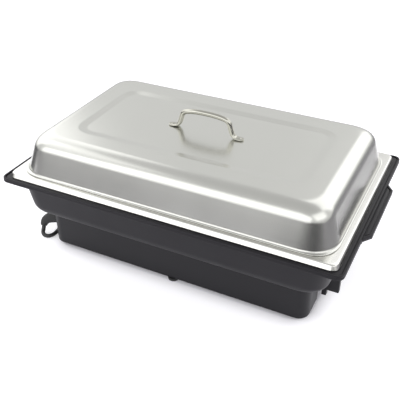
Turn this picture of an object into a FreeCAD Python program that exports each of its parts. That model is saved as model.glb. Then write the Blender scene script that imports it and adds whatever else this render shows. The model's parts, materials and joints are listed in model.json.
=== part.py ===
import FreeCAD, Part
import math
import os

# Electric chafing dish for one full-size gastronorm pan.
#
# A moulded water bath with a heated floor stands on a lower housing that holds the wiring.
# The food pan hangs in the bath by its flange, and the domed lid lifts off the pan.
# Frame: z = 0 is the bench, +X points to the control end, -Y is the front. Millimetres.

Vec = FreeCAD.Vector
UP = Vec(0, 0, 1)
RIGHT = Vec(1, 0, 0)
SIDES = (-1, 1)
POLES = (-1, 0, 1)

# Clearances and fits
lift_gap = 0.3          # between pieces that lift apart
turn_gap = 0.05         # radial, between a shaft and its bush
screw_gap = 0.05        # radial, between a screw and its hole
slip_gap = 0.4          # between trim and the cut-out that it sits in
through = 1.0           # how far a cut runs past the faces that it opens

# Food pan, gastronorm 1/1, 65 deep
pan_length = 530.0
pan_width = 325.0
pan_top = 145.0
pan_depth = 65.0
pan_sheet = 0.9
pan_skirt = 7.0
pan_corner = 12.0
pan_edge_fillet = 2.4
flange_end = 19.0       # width of the flange at the pan's ends
flange_side = 20.5      # and along its long sides
pan_mouth_corner = 48.0
pan_taper = 10.0        # how far each wall leans in from mouth to floor
pan_floor_fillet = 12.0

# Water bath: upper tub, rim, heated well
tub_play_end = 4.9      # between pan and tub at the mouth, at the ends
tub_play_side = 10.3    # and along the long sides
tub_floor_gap = 3.7     # between the pan's floor and the tub's ledge
tub_lean = 7.9          # how far each wall leans in from rim to bottom
tub_corner = 28.0
tub_wall = 3.0
tub_bottom_fillet = 16.0
skirt_gap = 4.0         # from the pan's skirt down to the rim's channel
rim_gap_end = 5.5       # from the pan's skirt to the rim's lip, at the ends
rim_gap_side = 4.5      # and along the long sides
rim_height = 7.0
rim_corner = 11.0
rim_lip = 3.5
rim_plate = 2.5
rim_edge_fillet = 2.2
rib_width = 4.0
rib_to_skirt = 2.0

# Side handles, on the rim ends
handle_reach = 10.5
handle_root = 154.0
handle_tip = 125.0
handle_drop = 0.5       # below the rim lip
handle_border = 2.2
handle_recess = 1.2
groove_width = 1.4
groove_depth = 1.6

# Heated well in the bath floor, measured in from the housing's outside
well_inset_left = 32.5
well_inset_right = 72.5
well_inset_side = 13.4
well_floor_top = 41.0
well_corner = 20.0
well_fillet = 5.0

# Lower housing, stepped in from the tub's bottom
housing_step_end = 24.4
housing_step_side = 20.9
housing_corner = 17.6
housing_wall = 3.0
housing_bottom = 4.0
housing_edge_fillet = 3.0
recess_width = 148.0
recess_depth = 5.5
cover_thickness = 2.5
cover_gap = 0.3
ledge_width = 4.0
ledge_thickness = 2.5

# Posts and screws that clamp the housing between bath and cover
post_radius = 4.5
post_pilot = 1.75
post_depth = 30.0
post_inset_x = 10.5
post_inset_y = 10.9
base_head_radius = 3.7
base_head_height = 1.8
base_head_fillet = 0.8
base_screw_length = 22.0
base_hole_gap = 0.3

# Feet
foot_radius = 11.0
foot_edge_fillet = 1.0
foot_inset_x = 34.0
foot_inset_y = 30.0
foot_stem_radius = 3.0
foot_cap_radius = 4.2
foot_cap_tip = 2.4
foot_cap_height = 1.6
edge_foot_x = 3.5
edge_foot_length = 12.0
edge_foot_width = 16.0
edge_foot_stem = 5.0    # from the foot's inner end to its stem
edge_foot_inset = 2.1

# Control end
hood_reach = 35.0
hood_side_gap = 4.0     # from the hood's cheek to the edge of the recess
hood_cheek = 8.0
hood_over_knob = 1.5
hood_bottom = 25.0
hood_visor = 3.0
hood_edge_fillet = 1.5
lug_start = 10.0
lug_length = 7.0
lug_width = 8.0
lug_drop = 11.0
fascia_thickness = 1.5
fascia_gap = 1.0        # between the fascia and the hood
fascia_bottom = 10.0
fascia_window_inset = 3.5
fascia_border = 9.0     # from the fascia's side to its window
fascia_screw_inset = 4.5
knob_height = 30.0      # of the knob axis above the bench
knob_radius = 16.5
knob_length = 20.0
knob_skirt = 6.0
knob_face = 2.0
knob_face_inset = 3.0
knob_grip_width = 8.0
knob_grip_inset = 2.0
knob_grip_fillet = 1.5
knob_hollow_radius = 8.5
knob_hollow_depth = 5.5
knob_gap = 0.8          # between the knob and the fascia
shaft_radius = 3.0
shaft_in_knob = 13.0
bush_radius = 4.75
bush_proud = 1.0        # past its nut
bush_nut_radius = 7.0
bush_nut_height = 2.2
thermostat_depth = 22.0
thermostat_side = 33.0
thermostat_height = 28.5
thermostat_gap = 0.5
shaft_in_thermostat = 8.0
shaft_end_gap = 0.5
trim_rise = 6.0         # of the switch and the lamp above the knob axis
trim_inset = 12.0       # of their centres from the side of the fascia's window
switch_flange_length = 21.0
switch_flange_height = 15.0
switch_flange = 2.0
switch_body_length = 19.0
switch_body_height = 13.0
switch_body_depth = 18.0
switch_well_length = 16.0
switch_well_height = 10.0
switch_well_depth = 10.0
rocker_length = 13.0
rocker_height = 9.4
rocker_depth = 8.5
rocker_proud = 1.2
rocker_taper = 2.0
rocker_tilt = 9.0       # degrees each way
pivot_radius = 1.0
pivot_reach = 0.9       # of the rocker's pivots into the switch walls
lamp_radius = 4.0
lamp_flange_radius = 5.5
lamp_flange = 1.2
lens_radius = 5.0
lens_sink = 3.0         # of the dome's centre behind the flange's face
lamp_body_radius = 3.4
lamp_body_length = 18.0
m3_head_radius = 2.7
m3_head_height = 1.4
m3_radius = 1.4
m3_length = 7.0

# Heater under the bath floor
plate_inset_end = 25.0  # from the well's walls to the plate
plate_inset_side = 39.0
plate_lap = 13.0        # of the plate over the edge of the floor's window
plate_corner = 16.0
plate_thickness = 2.0
seal_thickness = 1.5
window_corner = 11.0
stud_radius = 2.0
stud_drop = 7.5
nut_across = 7.0
nut_height = 3.0
element_radius = 4.0
element_gap = 0.3
element_inset_left = 27.0   # from the plate's edges to the element's centre line
element_inset_right = 33.0
element_inset_side = 37.0
element_nose = 4.0      # half the straight between the element's two bends
pin_radius = 1.6
pin_length = 9.0
clamp_inset_left = 75.0
clamp_inset_right = 85.0
clamp_thickness = 1.5
clamp_width = 12.0
clamp_overhang = 12.0   # past the element's centre line
clamp_stud_inset = 12.0
clamp_screw_radius = 1.9
clamp_screw_tail = 2.0
bulb_radius = 3.0
bulb_length = 60.0
bulb_inset = 24.0       # from the element's centre line
capillary_radius = 1.0
capillary_gap = 1.2
capillary_run = 13.0    # straight run out of the bulb and into the thermostat
capillary_sway = 1.0
capillary_drop = 5.0
capillary_entry = 6.0   # of its end on the thermostat, off the knob axis
cutout_radius = 8.0
cutout_height = 6.0
cutout_inset = 55.0     # from the plate's right edge
cutout_gap = 0.1
cutout_tab_width = 4.8
cutout_tab_start = 5.0
cutout_tab_end = 14.0
cutout_tab_thickness = 0.8
tray_margin_end = 14.0  # of the heat shield past the plate
tray_margin_side = 16.0
tray_sheet = 0.8
tray_height = 8.0
tray_corner = 14.0
boss_radius = 4.0
boss_height = 12.0
boss_inset = 14.0       # from the tray's edges
earth_tab_length = 18.0
earth_tab_width = 7.0
earth_tab_thickness = 0.8

# Mains inlet, cord clamp and terminal block, placed from the housing's left and front walls
inlet_inset = 27.9
inlet_height = 33.0
inlet_neck_radius = 8.5
inlet_flange_radius = 10.2
inlet_flange = 2.0
cord_radius = 3.5
clamp_block_inset = 23.5
clamp_block_length = 9.6
clamp_block_width = 26.0
clamp_strap = 2.6
clamp_strap_length = 7.6
clamp_crown = 1.7       # of the strap over the cord
clamp_screw_side = 9.0
clamp_screw_length = 9.0
core_spread = 2.64
sheath_inset = 33.5
block_inset = 81.5
block_length = 18.0
block_width = 36.0
block_height = 14.0
block_shift = 0.5
pole_pitch = 12.0
pole_height = 7.0       # of the clamp screws' seats above the cover
block_screw_radius = 1.7
block_screw_sink = 1.5

# Inner wires: slack, lanes and clearances of their routes
wire_radius = 1.2
earth_radius = 1.0
wire_sink = 2.5         # of the wire centres below the clamp screws' seats
wire_gap = 0.5
wire_run = 16.0         # straight run out of a terminal
wire_end = 4.0          # short straight run at a pin
wire_step = 1.0         # small rise between two stretches
core_run = 4.0
core_drop = 5.0         # of the cores below the tray where they reach it
core_lead = 2.0         # of that point before the tray's end
neutral_lane = 8.0      # from the tray's front edge
live_lane = 16.0
lane_start = 72.0       # from the terminal block
lane_end = 90.0         # from the well's right wall
bay_sway = 6.0          # of the wires in the bay by the thermostat
bay_reach = 36.0        # from the live wire's lane to its first bend in the bay
edge_clear = 11.0       # outside the tray's right edge
edge_lap = 4.0          # inside it, where a wire crosses over
loop_out = 27.0         # of the earth wire's loop from the terminal block
loop_back = 9.0
loop_side = 4.0         # outside the tray's front edge
loop_rise = 13.0
neutral_turn = 22.0     # of the neutral wire, in front of the element's centre line
link_drop = 4.0         # of the switch link between its two ends
link_side = 8.0

# Lid
lip_lap_end = 8.0       # of the lip over the pan's flange, at the ends
lip_lap_side = 12.0
lip_reach_end = 1.4     # of the lip past the lid's wall
lip_reach_side = 1.8
lip_corner = 37.0
lip_thickness = 1.2
lid_corner = 34.0
lid_top_corner = 29.0
lid_height = 57.7       # from the pan flange to the crown
lid_lean = 18.4
lid_crown_fillet = 26.5
lid_sheet = 1.0
panel_border_end = 44.2     # from the crown's outline to the sunk panel
panel_border_side = 45.8
panel_corner = 30.0
panel_slope = 13.0
panel_depth = 2.0

# Lid handle
rod_radius = 3.3
rod_foot_x = 45.0
rod_shoulder_x = 39.5
rod_shoulder_rise = 29.5
rod_bow_x = 21.0
rod_bow_rise = 32.5
rod_foot_run = 4.0      # flat run at each foot
rod_foot_rise = 5.0
rod_foot_lean = 1.0
pad_reach = 64.0
pad_width = 9.0
pad_corner = 4.4
pad_lap = 2.0           # under the rod
pad_thickness = 2.4
rivet_x = 56.5
rivet_radius = 2.0
rivet_head_radius = 3.6
rivet_head_height = 1.5
rivet_head_fillet = 1.2

# Mains plug, a straight two-pin earthed plug of the usual European size
plug_radius = 18.5
plug_grip_radius = 13.0
plug_back_radius = 9.0
plug_length = 34.0
plug_grip_length = 16.0
plug_pin_radius = 2.4
plug_pin_length = 19.0
plug_pin_pitch = 19.0
plug_pin_set = 8.0      # of each pin in the plug's body
plug_clip_width = 6.0
plug_clip_thickness = 1.0
plug_clip_length = 22.0
plug_clip_sink = 0.6    # below the plug's outside
clip_gap = 0.2

# Mains cord: free stretch from the inlet, put-away coil, and the short lead to the plug.
# Points are measured from the housing's left wall and the inlet's centre line, and z from the bench.
# The boot's third number is its share of the height from the cord's start up to the inlet.
boot_places = (
    (-2.0, 0.0, 1.0), (-10.5, -1.8, 0.978), (-21.5, -5.9, 0.822), (-29.0, -9.1, 0.533),
    (-32.1, -11.4, 0.183), (-32.4, -12.7, 0.0))
boot_radii = (10.8, 10.2, 9.2, 8.0, 6.4, 5.2)
boot_aims = (
    (-1.0, 0.0, 0.0), (-1.0, -0.2, -0.1), (-0.9, -0.34, -0.5),
    (-0.5, -0.3, -0.85), (-0.1, -0.35, -1.0), (0.0, -0.425, -0.905))
free_route = (
    (-32.4, -12.7, 15.0), (-32.4, -15.9, 8.2), (-30.1, -21.1, 4.9), (-23.7, -24.9, 3.9),
    (-15.5, -23.1, 3.6), (-11.5, -15.1, 3.6), (-12.1, -2.5, 3.6), (-16.3, 21.5, 3.6),
    (-19.5, 65.5, 3.6), (-16.0, 115.5, 3.6), (-13.5, 161.5, 3.6), (-8.5, 205.5, 3.6),
    (5.5, 241.5, 3.6), (20.5, 271.5, 3.6), (26.5, 299.5, 3.6), (26.5, 325.5, 3.6))
coil_centre = (72.5, 333.5)
coil_outer = 46.0       # centre line of the outermost turn
coil_pitch = 7.7
coil_rise = 7.6
coil_layer_turns = 2.25
lead_route = (
    (118.5, 325.5, 11.2), (118.5, 305.5, 11.2), (130.5, 282.5, 13.4), (154.5, 267.5, 18.8),
    (178.5, 265.5, 18.8))


def box(x_from, x_to, y_from, y_to, z_from, z_to):
    """Box between two opposite corners."""
    corner = Vec(x_from, y_from, z_from)
    return Part.makeBox(x_to - x_from, y_to - y_from, z_to - z_from, corner)


def plate_wire(half_x, half_y, radius, z, centre_x=0.0, centre_y=0.0):
    """Closed outline of a rounded rectangle at height z."""
    quarter = math.sqrt(0.5) * radius
    edges = []
    corners = ((1, 1), (-1, 1), (-1, -1), (1, -1))
    ends = []
    for sign_x, sign_y in corners:
        hub = Vec(centre_x + sign_x * (half_x - radius), centre_y + sign_y * (half_y - radius), z)
        along_x = hub + Vec(sign_x * radius, 0, 0)
        along_y = hub + Vec(0, sign_y * radius, 0)
        middle = hub + Vec(sign_x * quarter, sign_y * quarter, 0)
        first, last = (along_x, along_y) if sign_x * sign_y > 0 else (along_y, along_x)
        ends.append((first, middle, last))
    for index, (first, middle, last) in enumerate(ends):
        edges.append(Part.Arc(first, middle, last).toShape())
        edges.append(Part.LineSegment(last, ends[(index + 1) % 4][0]).toShape())
    return Part.Wire(edges)


def slab(length, width, radius, z_from, z_to, centre_x=0.0, centre_y=0.0):
    """Rounded rectangular block with upright walls."""
    wire = plate_wire(length / 2, width / 2, radius, z_from, centre_x, centre_y)
    return Part.Face(wire).extrude(Vec(0, 0, z_to - z_from))


def leaning_block(low, high, z_from, z_to, centre_x=0.0, centre_y=0.0):
    """Block whose rounded rectangle changes from low to high, each (length, width, radius)."""
    wires = []
    for (length, width, radius), z in ((low, z_from), (high, z_to)):
        wires.append(plate_wire(length / 2, width / 2, radius, z, centre_x, centre_y))
    return Part.makeLoft(wires, True, True)


def prism(corners, sweep):
    """Flat polygon pushed along a vector."""
    return Part.Face(Part.makePolygon(corners + corners[:1])).extrude(sweep)


def rod(radius, start, direction, length):
    """Cylinder from start along direction."""
    return Part.makeCylinder(radius, length, start, direction)


def fillet_level(shape, z, radius):
    """Round every edge that lies wholly at height z."""
    edges = []
    for edge in shape.Edges:
        bounds = edge.BoundBox
        if abs(bounds.ZMin - z) < 1e-4 and abs(bounds.ZMax - z) < 1e-4:
            edges.append(edge)
    return shape.makeFillet(radius, edges)


def route_wire(points):
    """Straight runs joined by tangent arcs. Returns the wire and the arc radii."""
    places = [Vec(*point) for point in points]
    edges = []
    radii = []
    start = places[0]
    for before, corner, after in zip(places, places[1:], places[2:]):
        back = before - corner
        ahead = after - corner
        turn = math.pi - back.getAngle(ahead)
        radius = 0.45 * min(back.Length, ahead.Length) / math.tan(turn / 2)
        setback = radius * math.tan(turn / 2)
        back.normalize()
        ahead.normalize()
        inward = (back + ahead)
        inward.normalize()
        arc_from = corner + back * setback
        arc_to = corner + ahead * setback
        middle = corner + inward * (radius / math.cos(turn / 2) - radius)
        edges.append(Part.LineSegment(start, arc_from).toShape())
        edges.append(Part.Arc(arc_from, middle, arc_to).toShape())
        radii.append(radius)
        start = arc_to
    edges.append(Part.LineSegment(start, places[-1]).toShape())
    return Part.Wire(edges), radii


def tube(points, radius):
    """Round tube along a route of runs and arcs."""
    wire, _ = route_wire(points)
    aim = Vec(*points[1]) - Vec(*points[0])
    profile = Part.Wire([Part.Circle(Vec(*points[0]), aim, radius).toShape()])
    return wire.makePipeShell([profile], True, False)


def arc_from_corner(start, corner, end):
    """Arc tangent at both ends to the legs of an isosceles corner."""
    leg = (corner - start).Length
    weight = (end - start).Length / 2 / leg
    middle = (start + corner * (2 * weight) + end) * (1 / (2 + 2 * weight))
    return Part.Arc(start, middle, end).toShape()


def biarc(start, start_aim, end, end_aim):
    """Two tangent arcs from start to end with the given unit directions."""
    across = end - start
    both = start_aim + end_aim
    spread = 2 * (1 - start_aim.dot(end_aim))
    along = across.dot(both)
    reach = (-along + math.sqrt(along ** 2 + spread * across.dot(across))) / spread
    first_corner = start + start_aim * reach
    last_corner = end - end_aim * reach
    joint = (first_corner + last_corner) * 0.5
    return [arc_from_corner(start, first_corner, joint), arc_from_corner(joint, last_corner, end)]


def save(name, *solids):
    """Write one named sub-part, checking that each of its solids is sound."""
    parts = []
    for solid in solids:
        parts.extend(solid.Solids)
    for solid in parts:
        if not solid.isValid() or solid.Volume <= 0:
            print("unsound solid in", name)
    shape = parts[0] if len(parts) == 1 else Part.makeCompound(parts)
    shape.exportStep(os.path.join("parts", name + ".step"))
    print(name, len(parts), round(sum(solid.Volume for solid in parts) / 1000, 2), "cm3")


# Values worked out from the driving dimensions
pan_underside = pan_top - pan_sheet
pan_floor = pan_top - pan_depth
pan_mouth_length = pan_length - 2 * flange_end
pan_mouth_width = pan_width - 2 * flange_side
channel_floor = pan_top - pan_skirt - skirt_gap
rim_bottom = channel_floor - rim_plate
rim_top = rim_bottom + rim_height
rim_length = pan_length + 2 * (rim_gap_end + rim_lip)
rim_width = pan_width + 2 * (rim_gap_side + rim_lip)
rib_outer_length = pan_length - 2 * (pan_sheet + rib_to_skirt)
rib_outer_width = pan_width - 2 * (pan_sheet + rib_to_skirt)
rib_corner = pan_corner - pan_sheet - rib_to_skirt
rib_top = pan_underside - lift_gap
tub_bottom = pan_floor - pan_sheet - tub_floor_gap - tub_wall
tub_top_length = pan_mouth_length + 2 * (pan_sheet + tub_play_end + tub_wall)
tub_top_width = pan_mouth_width + 2 * (pan_sheet + tub_play_side + tub_wall)
tub_bottom_length = tub_top_length - 2 * tub_lean
tub_bottom_width = tub_top_width - 2 * tub_lean
handle_top = rim_top - handle_drop
groove_x = rim_length / 2 + groove_width
handle_x = rim_length / 2 + handle_reach

housing_length = tub_bottom_length - 2 * housing_step_end
housing_width = tub_bottom_width - 2 * housing_step_side
wall_left = -housing_length / 2
inner_length = housing_length - 2 * housing_wall
inner_width = housing_width - 2 * housing_wall
inner_corner = housing_corner - housing_wall
cover_top = housing_bottom + cover_thickness
post_x = inner_length / 2 - post_inset_x
post_y = inner_width / 2 - post_inset_y
foot_x = housing_length / 2 - foot_inset_x
foot_y = housing_width / 2 - foot_inset_y
edge_foot_y = housing_width / 2 - edge_foot_inset - edge_foot_width + edge_foot_stem

well_left = wall_left + well_inset_left
well_right = housing_length / 2 - well_inset_right
well_length = well_right - well_left
well_width = housing_width - 2 * well_inset_side
well_x = (well_left + well_right) / 2
well_floor_bottom = well_floor_top - tub_wall

recess_face = housing_length / 2 - recess_depth
recess_inside = recess_face - housing_wall
hood_half_width = recess_width / 2 - hood_side_gap
hood_top = knob_height + knob_radius + hood_over_knob + hood_visor
lug_bottom = hood_bottom - lug_drop
fascia_face = recess_face + fascia_thickness
fascia_half_width = hood_half_width - hood_cheek - fascia_gap
fascia_top = hood_top - hood_visor - fascia_gap
fascia_screw_y = fascia_half_width - fascia_screw_inset
window_half_width = fascia_half_width - fascia_border
trim_height = knob_height + trim_rise
switch_y = window_half_width - trim_inset
lamp_y = -switch_y
switch_back = fascia_face - switch_body_depth
switch_front = fascia_face + switch_flange
rocker_axis_x = switch_front - switch_well_depth / 2
bush_tip = fascia_face + bush_nut_height + bush_proud
thermostat_front = recess_inside - thermostat_gap
thermostat_back = thermostat_front - thermostat_depth
shaft_start = thermostat_front - shaft_in_thermostat
knob_back = fascia_face + knob_gap

plate_length = well_length - 2 * plate_inset_end
plate_width = well_width - 2 * plate_inset_side
window_length = plate_length - 2 * plate_lap
window_width = plate_width - 2 * plate_lap
seal_top = well_floor_top + seal_thickness
plate_top = seal_top + plate_thickness
element_height = seal_top - element_gap - element_radius
element_left = well_x - plate_length / 2 + element_inset_left
element_right = well_x + plate_length / 2 - element_inset_right
element_y = plate_width / 2 - element_inset_side
pin_end = element_right + pin_length
clamp_top = element_height - element_radius - element_gap
clamp_half_length = element_y + clamp_overhang
clamp_stud_y = element_y - clamp_stud_inset
clamp_places = (well_x - plate_length / 2 + clamp_inset_left, well_x + plate_length / 2 - clamp_inset_right)
bulb_x = well_x - bulb_length / 2
bulb_y = element_y - bulb_inset
bulb_height = seal_top - element_gap - bulb_radius
cutout_x = well_x + plate_length / 2 - cutout_inset
tray_length = plate_length + 2 * tray_margin_end
tray_width = plate_width + 2 * tray_margin_side
tray_left = well_x - tray_length / 2
tray_right = well_x + tray_length / 2
boss_bottom = well_floor_bottom - boss_height

inlet_y = inlet_inset - housing_width / 2
clamp_block_x = wall_left + clamp_block_inset
pedestal_top = inlet_height - cord_radius
sheath_end = wall_left + sheath_inset
block_x = wall_left + block_inset
block_left = block_x - block_length / 2
block_right = block_x + block_length / 2
block_y = inlet_y - block_shift
wire_height = cover_top + pole_height - wire_sink
wire_under = well_floor_bottom - wire_radius - wire_gap
bay_x = (well_right + tub_wall + thermostat_back) / 2

lip_length = pan_mouth_length + 2 * lip_lap_end
lip_width = pan_mouth_width + 2 * lip_lap_side
lid_length = lip_length - 2 * lip_reach_end
lid_width = lip_width - 2 * lip_reach_side
lid_base = pan_top + lift_gap
lid_wall_base = lid_base + lip_thickness
lid_crown = pan_top + lid_height
panel_length = lid_length - 2 * (lid_lean + panel_border_end)
panel_width = lid_width - 2 * (lid_lean + panel_border_side)
panel_top = lid_crown - panel_depth

post_places = [(sx * post_x, sy * post_y) for sx in SIDES for sy in SIDES]
foot_places = [(sx * foot_x, sy * foot_y) for sx in SIDES for sy in SIDES]
boss_places = [(well_x + sx * (tray_length / 2 - boss_inset), sy * (tray_width / 2 - boss_inset))
               for sx in SIDES for sy in SIDES]
stud_x = (plate_length - plate_lap) / 2
stud_y = (plate_width - plate_lap) / 2
stud_places = [(well_x - stud_x, 0.0), (well_x + stud_x, 0.0)]
stud_places += [(well_x + sx * plate_length / 4, sy * stud_y) for sx in SIDES for sy in SIDES]
clamp_screw_places = [(x, side * clamp_stud_y) for x in clamp_places for side in SIDES]


def make_food_pan():
    """Pressed pan: tapered body, flat flange and turned-down skirt."""
    mouth = (pan_mouth_length, pan_mouth_width, pan_mouth_corner)
    floor = (pan_mouth_length - 2 * pan_taper, pan_mouth_width - 2 * pan_taper, pan_mouth_corner)
    outer_mouth = tuple(size + 2 * pan_sheet for size in mouth[:2]) + (pan_mouth_corner + pan_sheet,)
    outer_floor = tuple(size + 2 * pan_sheet for size in floor[:2]) + (pan_mouth_corner + pan_sheet,)
    outside = leaning_block(outer_floor, outer_mouth, pan_floor - pan_sheet, pan_underside)
    outside = fillet_level(outside, pan_floor - pan_sheet, pan_floor_fillet + pan_sheet)
    inside = leaning_block(floor, mouth, pan_floor, pan_underside)
    inside = fillet_level(inside, pan_floor, pan_floor_fillet)
    flange = slab(pan_length, pan_width, pan_corner, pan_top - pan_skirt, pan_top)
    flange = fillet_level(flange, pan_top, pan_edge_fillet)
    cut = 2 * pan_sheet
    under = slab(pan_length - cut, pan_width - cut, pan_corner - pan_sheet,
                 pan_top - pan_skirt, pan_underside)
    under = fillet_level(under, pan_underside, pan_edge_fillet - pan_sheet)
    mouth_cut = slab(pan_mouth_length, pan_mouth_width, pan_mouth_corner, pan_underside, pan_top)
    return flange.cut(under).cut(mouth_cut).fuse(outside.cut(inside)).removeSplitter()


def lid_crown_block(inset):
    """Solid under the lid's crown, inset from the outside by a sheet thickness."""
    low = (lid_length - 2 * inset, lid_width - 2 * inset, lid_corner - inset)
    high = (lid_length - 2 * (lid_lean + inset), lid_width - 2 * (lid_lean + inset), lid_top_corner - inset)
    block = leaning_block(low, high, lid_base, lid_crown - inset)
    block = fillet_level(block, lid_crown - inset, lid_crown_fillet - inset)
    top = (panel_length + 2 * inset, panel_width + 2 * inset, panel_corner + inset)
    bottom_length = panel_length - 2 * panel_slope + 2 * inset
    bottom_width = panel_width - 2 * panel_slope + 2 * inset
    bottom = (bottom_length, bottom_width, panel_corner - panel_slope + inset)
    dip = leaning_block(bottom, top, panel_top - inset, lid_crown - inset)
    return block.cut(dip)


def make_lid():
    """Drawn lid with a lip that rests on the pan flange and a sunk panel in the crown."""
    shell = lid_crown_block(0.0)
    lip = slab(lip_length, lip_width, lip_corner, lid_base, lid_wall_base)
    lid = shell.fuse(lip).cut(lid_crown_block(lid_sheet))
    for side in SIDES:
        hole = rod(rivet_radius, Vec(side * rivet_x, 0, panel_top - 2 * lid_sheet), UP, 3 * lid_sheet)
        lid = lid.cut(hole)
    return lid.removeSplitter()


def make_lid_handle():
    """Bowed rod with a flattened pad at each foot."""
    base = panel_top + rod_radius
    foot_end = rod_foot_x + rod_foot_run
    foot_bend = rod_foot_x - rod_foot_lean
    right = [(rod_bow_x, 0, panel_top + rod_bow_rise), (rod_shoulder_x, 0, panel_top + rod_shoulder_rise),
             (foot_bend, 0, base + rod_foot_rise), (foot_end, 0, base)]
    places = [(-x, y, z) for x, y, z in reversed(right)] + right
    handle = tube(places, rod_radius)
    pad_start = rod_foot_x - pad_lap
    for side in SIDES:
        middle = side * (pad_start + pad_reach) / 2
        pad = slab(pad_reach - pad_start, pad_width, pad_corner,
                   panel_top, panel_top + pad_thickness, middle)
        hole = rod(rivet_radius, Vec(side * rivet_x, 0, panel_top), UP, pad_thickness)
        knuckle = Part.makeSphere(rod_radius, Vec(side * foot_end, 0, base))
        handle = handle.fuse(pad).fuse(knuckle).cut(hole)
    return handle.removeSplitter()


def make_rivets():
    """One rivet through each handle pad and the lid, headed on both sides."""
    rivets = []
    for side in SIDES:
        shank_from = panel_top - lid_sheet
        shank_to = panel_top + pad_thickness
        shank = rod(rivet_radius, Vec(side * rivet_x, 0, shank_from), UP, shank_to - shank_from)
        top = rod(rivet_head_radius, Vec(side * rivet_x, 0, shank_to), UP, rivet_head_height)
        top = fillet_level(top, shank_to + rivet_head_height, rivet_head_fillet)
        bottom = rod(rivet_head_radius, Vec(side * rivet_x, 0, shank_from - rivet_head_height), UP,
                     rivet_head_height)
        rivets.append(shank.fuse(top).fuse(bottom).removeSplitter())
    return rivets


def make_side_handle(side):
    """Moulded grip on one end of the rim, with a sunk panel and a groove along the lip."""
    root = handle_root / 2
    tip = handle_tip / 2
    outline = [(rim_length / 2, -root), (handle_x, -tip), (handle_x, tip), (rim_length / 2, root)]
    block = prism([Vec(side * x, y, rim_bottom) for x, y in outline], UP * (handle_top - rim_bottom))
    inner_root = root - 3 * handle_border
    inner_tip = tip - handle_border
    inner = [(groove_x + handle_border, -inner_root), (handle_x - handle_border, -inner_tip),
             (handle_x - handle_border, inner_tip), (groove_x + handle_border, inner_root)]
    panel = prism([Vec(side * x, y, handle_top - handle_recess) for x, y in inner], UP * (2 * handle_recess))
    line_from = min(side * rim_length / 2, side * groove_x)
    slot = box(line_from, line_from + groove_width, -root, root, handle_top - groove_depth, rim_top)
    return block.cut(panel).cut(slot)


def make_water_bath():
    """One moulding: upper tub, ledge, heated well, rim channel and rib."""
    outer_low = (tub_bottom_length, tub_bottom_width, tub_corner)
    outer_high = (tub_top_length, tub_top_width, tub_corner)
    outside = leaning_block(outer_low, outer_high, tub_bottom, channel_floor)
    outside = fillet_level(outside, tub_bottom, tub_bottom_fillet)
    cut = 2 * tub_wall
    inner_low = (tub_bottom_length - cut, tub_bottom_width - cut, tub_corner - tub_wall)
    inner_high = (tub_top_length - cut, tub_top_width - cut, tub_corner - tub_wall)
    inside = leaning_block(inner_low, inner_high, tub_bottom + tub_wall, channel_floor)
    inside = fillet_level(inside, tub_bottom + tub_wall, tub_bottom_fillet - tub_wall)
    rim = slab(rim_length, rim_width, rim_corner, rim_bottom, rim_top)
    rim = fillet_level(rim, rim_top, rim_edge_fillet)
    channel = slab(rim_length - 2 * rim_lip, rim_width - 2 * rim_lip, rim_corner - rim_lip,
                   channel_floor, rim_top)
    rim = rim.cut(channel)
    rib = slab(rib_outer_length, rib_outer_width, rib_corner, rim_bottom, rib_top)
    rib_inside = slab(rib_outer_length - 2 * rib_width, rib_outer_width - 2 * rib_width,
                      rib_corner - rib_width / 2, channel_floor, rib_top)
    rim = rim.fuse(rib.cut(rib_inside))
    well = slab(well_length + cut, well_width + cut, well_corner + tub_wall,
                well_floor_bottom, tub_bottom + tub_wall, well_x)
    well = fillet_level(well, well_floor_bottom, well_fillet + tub_wall)
    well_inside = slab(well_length, well_width, well_corner,
                       well_floor_top, tub_bottom + tub_wall + through, well_x)
    well_inside = fillet_level(well_inside, well_floor_top, well_fillet)
    window = slab(window_length, window_width, window_corner,
                  well_floor_bottom - through, well_floor_top + through, well_x)
    bath = outside.fuse(rim).fuse(well).cut(inside).cut(well_inside).cut(window)
    for x, y in stud_places:
        bath = bath.cut(rod(stud_radius + screw_gap, Vec(x, y, well_floor_bottom - through), UP,
                            tub_wall + 2 * through))
    for x, y in boss_places:
        boss = rod(boss_radius, Vec(x, y, boss_bottom), UP, boss_height)
        pilot = rod(m3_radius + screw_gap, Vec(x, y, boss_bottom), UP, boss_height - tub_wall)
        bath = bath.fuse(boss).cut(pilot)
    for x, y in post_places:
        post = rod(post_radius, Vec(x, y, cover_top), UP, tub_bottom - cover_top)
        pilot = rod(post_pilot + screw_gap, Vec(x, y, cover_top), UP, post_depth)
        bath = bath.fuse(post).cut(pilot)
    return bath.removeSplitter()


def recess_block(face_x, half_width, z_from, z_to):
    """Space cut from the right end of the housing for the controls."""
    return box(face_x, housing_length, -half_width, half_width, z_from, z_to)


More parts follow.
